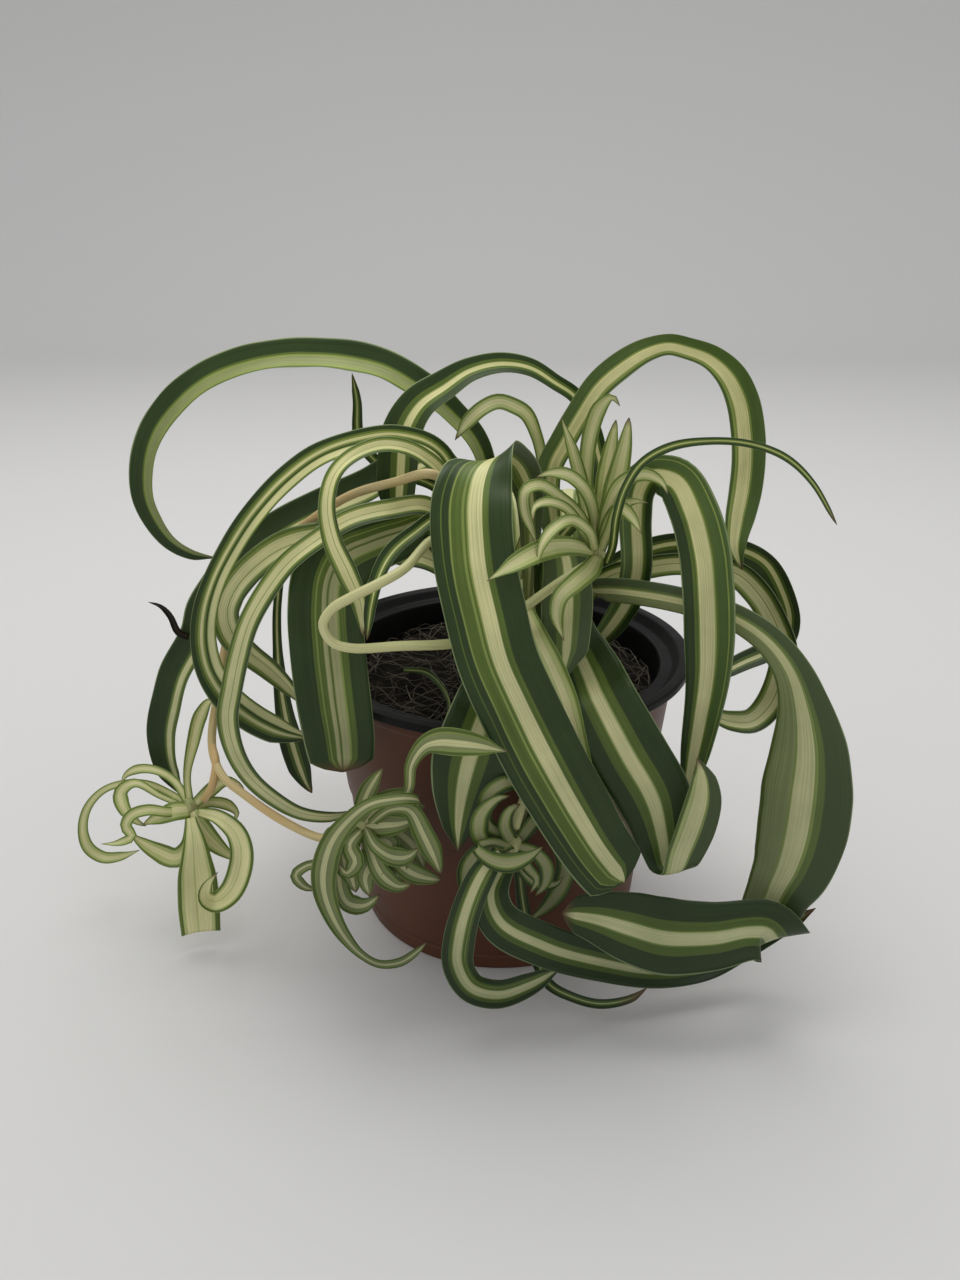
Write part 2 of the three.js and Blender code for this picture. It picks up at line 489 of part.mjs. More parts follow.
// ---- Plantlets: a small core with short leaves grown out of it ----
const PLANTLETS = {
  plantlet_left: { colour: PLANTLET_CREAM, centre: [190, 806, -20], core: 3.2, leaflets: [
    [[190, 806, -20, 3], [187, 775, -16, 2.5], [193, 742, -14, 4.5], [200, 716, -14, 5],
      [210, 701, -15, 4.5], [218, 704, -17, 2]],
    [[188, 802, -20, 3], [174, 781, -16, 3], [158, 771, -15, 3], [139, 769, -14, 3.5],
      [126, 775, -14, 3], [121, 784, -14, 1.2]],
    [[188, 806, -20, 3], [169, 793, -13, 2.5], [148, 784, -12, 2.5], [126, 783, -12, 2.5],
      [104, 790, -12, 2.5], [88, 807, -12, 3], [83, 829, -12, 3.5], [89, 848, -12, 4.5],
      [103, 857, -12, 4.5], [121, 856, -13, 3.5], [140, 850, -14, 1]],
    [[186, 810, -21, 3], [168, 812, -25, 3.5], [148, 810, -27, 4], [132, 815, -28, 4],
      [126, 826, -29, 4], [132, 836, -30, 3.5], [118, 843, -31, 2.5], [101, 844, -31, 1]],
    [[184, 806, -20, 2], [160, 796, -19, 2], [135, 783, -18, 3], [121, 792, -19, 5],
      [124, 808, -22, 5.5], [136, 821, -24, 5], [146, 826, -24, 3]],
    [[190, 810, -22, 5], [175, 811, -24, 8], [160, 817, -25, 8.5], [148, 822, -25, 6],
      [143, 825, -25, 3]],
    [[192, 812, -22, 4], [190, 846, -26, 7], [176, 858, -28, 7], [156, 851, -28, 7],
      [138, 840, -28, 6.5], [130, 833, -28, 3]],
    [[192, 812, -22, 5], [204, 832, -25, 8], [220, 848, -26, 8], [240, 862, -27, 5]],
    [[194, 804, -20, 3], [208, 792, -18, 5], [224, 781, -17, 6], [238, 784, -17, 5],
      [244, 789, -17, 3]],
    [[196, 806, -20, 3], [212, 802, -15, 4], [228, 805, -14, 4.5], [237, 814, -14, 3],
      [232, 822, -14, 1.5]],
  ] },
  plantlet_front_left: { colour: PLANTLET_GREEN, centre: [363, 826, -62], core: 3.2, leaflets: [
    [[363, 824, -62, 4], [362, 806, -64, 5], [368, 790, -66, 5.5], [378, 774, -67, 5],
      [383, 768, -67, 3]],
    [[364, 824, -62, 3], [392, 812, -66, 3], [408, 790, -70, 3], [411, 765, -72, 3.5],
      [424, 746, -75, 5], [440, 741, -78, 8], [458, 742, -80, 8], [480, 745, -81, 6],
      [508, 752, -82, 1]],
    [[366, 824, -63, 3], [392, 818, -65, 3], [414, 810, -67, 3], [420, 802, -70, 3],
      [408, 799, -73, 3.5], [392, 800, -74, 3.5], [370, 805, -74, 4], [350, 820, -74, 5],
      [333, 842, -74, 7], [325, 868, -74, 8], [325, 892, -73, 7], [333, 916, -72, 5.5],
      [346, 938, -71, 4], [362, 955, -70, 2.5], [380, 964, -69, 2.5], [400, 962, -68, 3],
      [416, 952, -67, 2.5], [427, 942, -67, 1]],
    [[364, 828, -63, 4], [352, 838, -66, 7], [346, 856, -68, 8], [352, 876, -68, 7.5],
      [356, 892, -67, 6]],
    [[366, 828, -63, 4], [376, 840, -66, 8], [374, 860, -68, 8.5], [366, 878, -69, 8],
      [370, 896, -69, 6]],
    [[362, 830, -62, 4], [345, 850, -64, 4], [340, 878, -65, 5], [348, 902, -65, 6],
      [364, 905, -66, 6], [380, 895, -66, 4]],
    [[361, 828, -62, 3], [340, 842, -62, 3], [325, 862, -62, 3], [307, 866, -62, 3],
      [296, 875, -62, 3.5], [304, 886, -62, 4.5], [316, 890, -62, 4]],
    [[361, 826, -62, 3], [345, 830, -61, 4], [332, 832, -61, 4], [326, 842, -61, 3],
      [333, 850, -62, 2]],
    [[364, 826, -63, 5], [382, 824, -66, 9], [400, 823, -68, 10], [416, 819, -69, 9]],
    [[366, 828, -64, 3], [376, 846, -71, 4], [392, 856, -72, 6], [408, 856, -72, 6],
      [420, 847, -72, 1]],
    [[367, 826, -63, 3], [392, 809, -69, 3], [410, 810, -71, 5], [424, 834, -72, 6.5],
      [436, 860, -72, 6.5], [441, 874, -72, 5]],
    [[368, 830, -63, 3], [398, 862, -67, 5], [414, 873, -68, 7], [430, 878, -68, 7.5],
      [442, 880, -68, 6]],
    [[367, 830, -63, 4], [388, 846, -66, 6], [398, 866, -67, 8], [396, 886, -67, 7.5]],
    [[364, 824, -63, 4], [380, 806, -65, 7], [398, 796, -66, 8], [414, 790, -67, 6]],
    [[366, 828, -63, 4], [380, 836, -67, 6], [392, 846, -69, 6], [386, 858, -70, 5.5],
      [380, 850, -71, 4]],
    [[365, 830, -64, 3], [372, 852, -69, 5], [382, 874, -70, 6], [398, 886, -70, 6],
      [412, 884, -70, 4]],
    [[366, 826, -62, 4], [392, 828, -61, 7], [415, 846, -61, 8], [425, 868, -61, 5]],
    [[362, 830, -64, 3], [350, 846, -69, 5], [356, 862, -71.5, 6], [346, 874, -72, 5],
      [338, 864, -71, 3.5]],
  ] },
  plantlet_front: { colour: PLANTLET_CREAM, centre: [514, 844, -72], core: 3.4, leaflets: [
    [[512, 842, -73, 4], [494, 846, -76, 5], [480, 836, -78, 5.5], [481, 815, -78, 6],
      [497, 799, -77, 5], [510, 796, -76, 3]],
    [[510, 846, -73, 3], [490, 842, -79, 2.5], [477, 848, -83, 3], [490, 859, -84, 5],
      [508, 863, -84, 6], [528, 857, -83, 5], [544, 846, -80, 1.5]],
    [[512, 842, -73, 4], [505, 825, -76, 7], [510, 810, -77, 8], [520, 804, -77, 6]],
    [[514, 840, -71, 4], [524, 820, -66, 7], [534, 808, -64.5, 8], [543, 803, -64, 5]],
    [[518, 842, -71, 4], [540, 818, -68, 5], [556, 835, -67, 6], [566, 862, -66, 6],
      [562, 884, -65, 6], [548, 905, -65, 6.5], [530, 920, -65, 4]],
    [[516, 849, -72, 4], [524, 870, -71, 4.5], [540, 884, -69, 4.5], [556, 884, -68, 3],
      [564, 876, -68, 1]],
    [[512, 850, -73, 4], [500, 872, -73, 4], [497, 892, -71, 4], [508, 905, -69, 2]],
    [[516, 850, -73, 3], [528, 868, -75, 4], [537, 880, -77, 4], [530, 893, -78, 2]],
    [[510, 838, -72, 3], [486, 822, -75, 4], [487, 797, -75, 5], [505, 783, -74, 5],
      [523, 785, -73, 4.5], [532, 800, -74, 2]],
    [[509, 846, -74, 3], [484, 848, -78, 4], [470, 862, -78.5, 5.5], [465, 885, -78, 5.5],
      [467, 905, -77, 3]],
    [[517, 846, -73, 3], [534, 852, -74, 4], [546, 866, -74, 5], [545, 884, -74, 5],
      [535, 896, -74, 2]],
    [[515, 840, -70, 3], [523, 818, -66, 5], [528, 800, -65.5, 6], [536, 788, -65.5, 5]],
  ] },
  plantlet_right: { colour: PLANTLET_GREEN, centre: [598, 552, -31], core: 3.4, leaflets: [
    [[597, 548, -31, 3.5], [590, 525, -28, 4], [583, 490, -26, 4.5], [574, 455, -26, 4],
      [561, 417, -26, 1]],
    [[597, 548, -31, 3.5], [588, 515, -24, 4], [586, 475, -22, 4.5], [590, 435, -21, 5],
      [600, 407, -21, 5], [612, 397, -21, 4], [620, 406, -21, 1]],
    [[598, 547, -32, 4], [601, 515, -34, 5], [606, 475, -36, 6], [612, 440, -37, 6.5],
      [616, 420, -38, 5]],
    [[600, 547, -32, 4], [608, 515, -38, 5.5], [617, 478, -42, 7], [625, 442, -44, 7.5],
      [629, 418, -45, 6.5]],
    [[596, 547, -32, 3.5], [594, 515, -38, 3.5], [585, 490, -42, 4], [568, 475, -44, 4],
      [550, 473, -45, 3.5], [535, 478, -45, 1]],
    [[595, 548, -32, 3], [580, 515, -40, 3], [560, 497, -46, 3.5], [540, 485, -49, 3.5],
      [526, 490, -51, 3.5], [525, 510, -52, 3.5], [532, 530, -53, 3], [537, 546, -53, 1.5]],
    [[595, 549, -33, 3], [583, 530, -42, 3], [566, 508, -48, 3], [546, 502, -53, 3],
      [534, 508, -56, 3], [533, 522, -57, 1.5]],
    [[595, 550, -33, 3], [588, 530, -46, 3], [570, 520, -52, 3.5], [552, 530, -57, 3.5],
      [541, 548, -60, 3.5], [538, 566, -61, 1.5]],
    [[594, 551, -32, 4], [570, 546, -45, 5.5], [545, 549, -56, 6.5], [518, 562, -67, 5.5],
      [487, 581, -74, 1]],
    [[601, 548, -32, 3.5], [609, 520, -42, 3.5], [622, 505, -47, 4], [636, 501, -49, 3],
      [648, 503, -50, 1]],
    [[601, 550, -32, 3], [610, 528, -44, 3], [622, 508, -51, 4.5], [632, 517, -53, 5],
      [642, 534, -54, 2]],
    [[600, 548, -32, 3], [607, 510, -44, 3.5], [622, 482, -50, 4], [645, 474, -53, 4],
      [662, 482, -55, 3], [668, 495, -56, 1]],
    [[598, 556, -33, 4], [590, 570, -42, 6.5], [575, 583, -50, 6], [560, 598, -55, 5],
      [557, 618, -57, 4], [564, 641, -58, 1]],
  ] },
};

const FREE_LEAVES = {
  dried_tip: { tone: "dried", roll: [0, 0], route: [
    [189, 637, -3, 2.5], [178, 632, -5, 2.5], [170, 616, -6, 2], [160, 606, -7, 1.8],
    [148, 602, -7, 1],
  ] },
  soil_wisp: { tone: "deep", roll: [0, 0], route: [
    [404, 670, -2.5, 2], [425, 672, -14, 2.5], [441, 685, -34, 2.5], [450, 706, -56, 2.5],
    [449, 727, -67, 1.5],
  ] },
  plantlet_left_strap: { tone: "light", roll: [0, 0], route: [
    [191, 818, -24.4, 3], [195, 845, -32, 8], [197, 875, -35, 13], [199, 905, -37, 14],
    [201, 932, -38, 13],
  ] },
  plantlet_left_hook: { tone: "light", roll: [15, 15], route: [
    [199, 812, -23, 3], [220, 818, -31, 5.5], [236, 832, -35, 7], [242, 850, -38, 8],
    [240, 872, -40, 8.5], [231, 892, -42, 8.5], [216, 903, -43, 7.5], [205, 898, -44.5, 5.5],
    [207, 885, -45, 4], [218, 872, -44.5, 1],
  ] },
  plantlet_front_runner: { tone: "deep", roll: [10, 0], route: [
    [508, 861, -74.5, 5], [492, 892, -79, 11], [502, 922, -79, 13], [545, 945, -78, 13],
    [600, 961, -72, 12], [655, 970, -67, 11], [705, 964, -63, 10], [750, 943, -60, 8],
    [790, 923, -60, 5], [816, 908, -61, 1.5],
  ] },
  plantlet_front_droop: { tone: "middle", roll: [10, 0], route: [
    [499.5, 852, -80.2, 4], [484, 872, -84, 8], [470, 902, -85, 8.5], [460, 938, -84, 9.5],
    [459, 966, -82, 9.5], [473, 988, -80, 9], [499, 994, -78, 8.5], [530, 984, -76, 7],
    [562, 967, -75, 2],
  ] },
  plantlet_front_tail: { tone: "deep", roll: [0, 0], route: [
    [518, 857, -69.8, 3], [524, 910, -61, 4], [534, 950, -64, 4], [548, 983, -70, 3.5],
    [572, 997, -74, 3], [600, 1004, -76, 3], [630, 999, -77, 2.5], [647, 988, -78, 1.5],
  ] },
  plantlet_right_whip: { tone: "deep", roll: [0, 0], route: [
    [607, 563, -37, 2.5], [613, 545, -47, 2.5], [617, 515, -56, 2.5], [626, 487, -60, 2.5],
    [642, 463, -61, 2.5], [670, 447, -60, 2.5], [710, 441, -58, 2], [750, 444, -57, 2],
    [785, 457, -56, 2], [812, 482, -55, 1.6], [837, 525, -55, 1.2],
  ] },
};

function leafletSolid(points) {
  const widths = points.map((point) => point[3]);
  const steps = LEAFLET_STEPS * (points.length - 1);
  const frames = stripFrames(points.map(placeOf), widths, LEAFLET, steps);
  return toSolid(sweep(frames, bladeSection));
}

function plantletGeometry({ centre, core, leaflets }) {
  const place = placeOf(centre);
  const heart = new THREE.SphereGeometry(core, HEART_SIDES, HEART_RINGS);
  heart.scale(1, 1, HEART_STRETCH);
  heart.translate(place.x, place.y, place.z);
  return toGeometry(leaflets.reduce((solid, points) => solid.add(leafletSolid(points)), toSolid(heart)));
}

// ---- Assembly ----
const plant = new THREE.Group();

function addPiece(name, geometry, colour, roughness) {
  const material = new THREE.MeshStandardMaterial({ color: colour, roughness, metalness: 0 });
  const mesh = new THREE.Mesh(geometry, material);
  mesh.name = name;
  plant.add(mesh);
  return mesh;
}

addPiece("cover_pot", coverPotGeometry(), TERRACOTTA, POT_ROUGHNESS);
addPiece("nursery_pot", nurseryPotGeometry(), BLACK, POT_ROUGHNESS);
addPiece("soil", soilGeometry(), PEAT, SOIL_ROUGHNESS);
addPiece("crown", crownGeometry(), CROWN_GREEN, LEAF_ROUGHNESS)
  .position.set(CROWN.x, CROWN.y, SOIL.top + GAP);
for (const [name, leaf] of Object.entries(LEAVES)) {
  addPiece(name, motherLeafGeometry(leaf), LEAF_TONES[leaf.tone], LEAF_ROUGHNESS);
}
for (const [name, stolon] of Object.entries(STOLONS)) {
  addPiece(name, stolonGeometry(stolon), stolon.colour, STOLON_ROUGHNESS);
}
for (const [name, plantlet] of Object.entries(PLANTLETS)) {
  addPiece(name, plantletGeometry(plantlet), plantlet.colour, LEAF_ROUGHNESS);
}
for (const [name, leaf] of Object.entries(FREE_LEAVES)) {
  addPiece(name, freeLeafGeometry(leaf), LEAF_TONES[leaf.tone], LEAF_ROUGHNESS);
}

export default plant;
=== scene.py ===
"""The looks of a potted spider plant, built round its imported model.

Lengths in the route lists are millimetres, as in the model's own source; everything that reaches
Blender is in metres. Leaves, stolons and plantlets are rebuilt as fine meshes along the same routes.
"""
import functools
import math

import bpy
import numpy as np
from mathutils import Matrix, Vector


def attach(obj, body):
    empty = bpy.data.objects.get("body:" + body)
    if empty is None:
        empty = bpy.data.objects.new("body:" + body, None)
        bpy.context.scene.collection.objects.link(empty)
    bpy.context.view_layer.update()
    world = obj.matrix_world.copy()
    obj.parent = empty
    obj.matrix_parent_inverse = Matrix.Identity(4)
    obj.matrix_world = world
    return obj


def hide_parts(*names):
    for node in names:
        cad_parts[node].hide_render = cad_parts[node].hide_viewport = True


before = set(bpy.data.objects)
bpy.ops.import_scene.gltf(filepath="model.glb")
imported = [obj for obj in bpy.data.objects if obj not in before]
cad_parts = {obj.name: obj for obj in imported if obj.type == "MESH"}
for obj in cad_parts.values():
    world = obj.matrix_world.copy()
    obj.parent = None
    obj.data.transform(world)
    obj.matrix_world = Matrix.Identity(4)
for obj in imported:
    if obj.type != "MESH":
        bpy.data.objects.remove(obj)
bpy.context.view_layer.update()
BODY = "root"
MM = 0.001

# ---- Dimensions shared with the model's source, in millimetres ----
GAP = 0.3
COVER_POT = dict(base_radius=49.5, rim_radius=59.5, height=93.6, wall=1.6, floor=2.2, collar_height=49,
                 collar_step=0.9)
NURSERY_POT = dict(base_radius=44, shoulder_radius=56, flange_radius=61, rim_radius=65, rim_height=2.8,
                   top=98, wall=1.2)
SOIL = dict(top=88, edge_radius=53.2, base_radius=41.6, slump=2.6)
CROWN = dict(x=8, y=2, base_radius=10, top_radius=5.5, height=32, foot_height=3, top_bevel=2)
ROOT_RISE = 13  # a leaf follows the crown this far up before it arches away
ROOT_LEAN = 3.2  # and leans out by this much on the way
ROOT_WIDTH = 3.4
ROOT_CLEARANCE = 0.4  # between a leaf's base and the crown
LEAF_HALF_THICKNESS = 0.4
STOLON_RADIUS = 1.4
LEAF_STATIONS = 26
LEAFLET_STATIONS = 3  # between neighbouring points of its route
LEAFLET = {"roll": (8, 8)}
HEART_STRETCH = 1.3  # a plantlet's heart is this many times taller than it is wide
SETTLING = 0.3  # share of a rooted strip's length over which it turns to the viewer
UNSURE = 0.35  # sine of the curve's angle to the line of sight, at which it starts to turn
SURE = 0.85  # and from which it turns fully
FOLDED_STATIONS = 160

# ---- Fine features of the pots, the crown and the stems ----
FOOT = dict(hollow=1.2, width=5, bevel=1)  # under the cover pot
GROOVE = dict(low=5, high=7, bevel=0.6, depth=0.45)  # round the cover pot's foot
COLLAR_RAMP = (0.6, 0.5)  # how far the collar's step starts below and ends above its height
LIP = dict(bulge=0.3, height=3, ramp=1)  # round the cover pot's top
RIM_BEVEL = dict(outset=0.4, size=1)  # of the nursery pot's rim, on its inside
EDGE_RADIUS = dict(cover_pot=0.8, nursery_pot=0.7, crown=1.5)  # of rounded edges
CROWN_FLUTES = 7
CROWN_SINK = 2  # how far the crown's foot goes into the loose soil
STOLON_SWELL = 0.06  # share of its radius by which a stolon gets thicker and thinner
STOLON_SWELL_LENGTH = 12
HEART_SHARE = 0.7  # a plantlet's heart is this much of its core's size
CORNER_POINTS = 5
AXIS_RADIUS = 0.01  # the smallest radius of a turned body

# ---- The soil's surface ----
SLUMP_WIDTH = 9  # the soil has slumped within this distance of its edge
SOIL_SINK = 0.6
SOIL_RINGS = 56
GRAIN_HEIGHT = 0.35
EDGE_LUMPS = 0.35  # share of the lumps' height that is left at the edge
CALM_RADIUS = 12  # grains get lower from here to the middle
LUMP_PITCH = 0.12
LUMP_STEP = 1.5  # each wave is this many times finer than the one before
LUMP_HEIGHT = 0.6
SOIL_WAVES = np.random.default_rng(5).uniform(-1, 1, (7, 4))
FIBRE_COUNT = 420
FIBRE_STEPS = 5
FIBRE_RADII = (0.07, 0.1, 0.16)
FIBRE_INSET = 1.5  # how far fibres stay from the soil's edge
FIBRE_LIFT = (-0.4, 1.3)
FIBRE_ARCH = 1.2  # how much higher its middle points lie
FIBRE_TURN = 0.6
FIBRE_STEP_LENGTH = (2.5, 7)
SHORTEST_STEP = 0.3  # a fibre with a shorter step is left out
FIBRE_SIDES = 5
FIBRE_ROW_LENGTH = 1.5

# ---- Fineness of the meshes ----
ROW_LENGTH = 1.4  # along a leaf
LEAST_ROWS = 12
BLADE_COLUMNS = 13
WIDTH_ROUNDS = 5  # of smoothing of a leaf's width
SIDE_ROUNDS = 6  # of smoothing of a strip's turns
FOLDED_SIDE_ROUNDS = 1
STEM_SIDES = 14
STEM_ROW_LENGTH = 1.2
PATTERN_STARTS = 97  # how many different places a material's pattern can start from
POT_SEGMENTS = 192
LONGEST_STEP = 3  # along a pot's profile
SOIL_SEGMENTS = 160
CROWN_SEGMENTS = 90
CROWN_STEP = 1.2
HEART_SEGMENTS = 60
HEART_POINTS = 24

# ---- The form of a blade ----
TIP_LENGTH = 4  # of its taper, to which its look adds some of its width
TIP_SHARE = 0.06  # of its width that is left at its tip
TIP_POWER = 0.6
CHANNEL_OPENS = 18  # how far from its start its channel is fully open
CHANNEL_POWER = 1.7
CHANNEL_LEVEL = 0.34
EDGE_HALF_THICKNESS = 0.06
RIB_HALF_THICKNESS = 0.16  # added to that in the middle
WAVE_LENGTH = 9  # between the changes of its wavy edges
BASE_FADE = (4, 45)  # where its pale base starts to green and where it is green

# ---- The viewpoint that routes are given from ----
# A route point is (column, row, depth, width): where it is seen in a picture 960 wide and 1280
# high, its Y, and the leaf's width there.
EYE = np.array([-6.9, -329.9, 237.1])
PITCH = math.radians(22.6)
FOCAL_LENGTH = 1035
PICTURE_SIZE = (960, 1280)
FORWARD = np.array([0, math.cos(PITCH), -math.sin(PITCH)])
DOWN = np.array([0, -math.sin(PITCH), -math.cos(PITCH)])

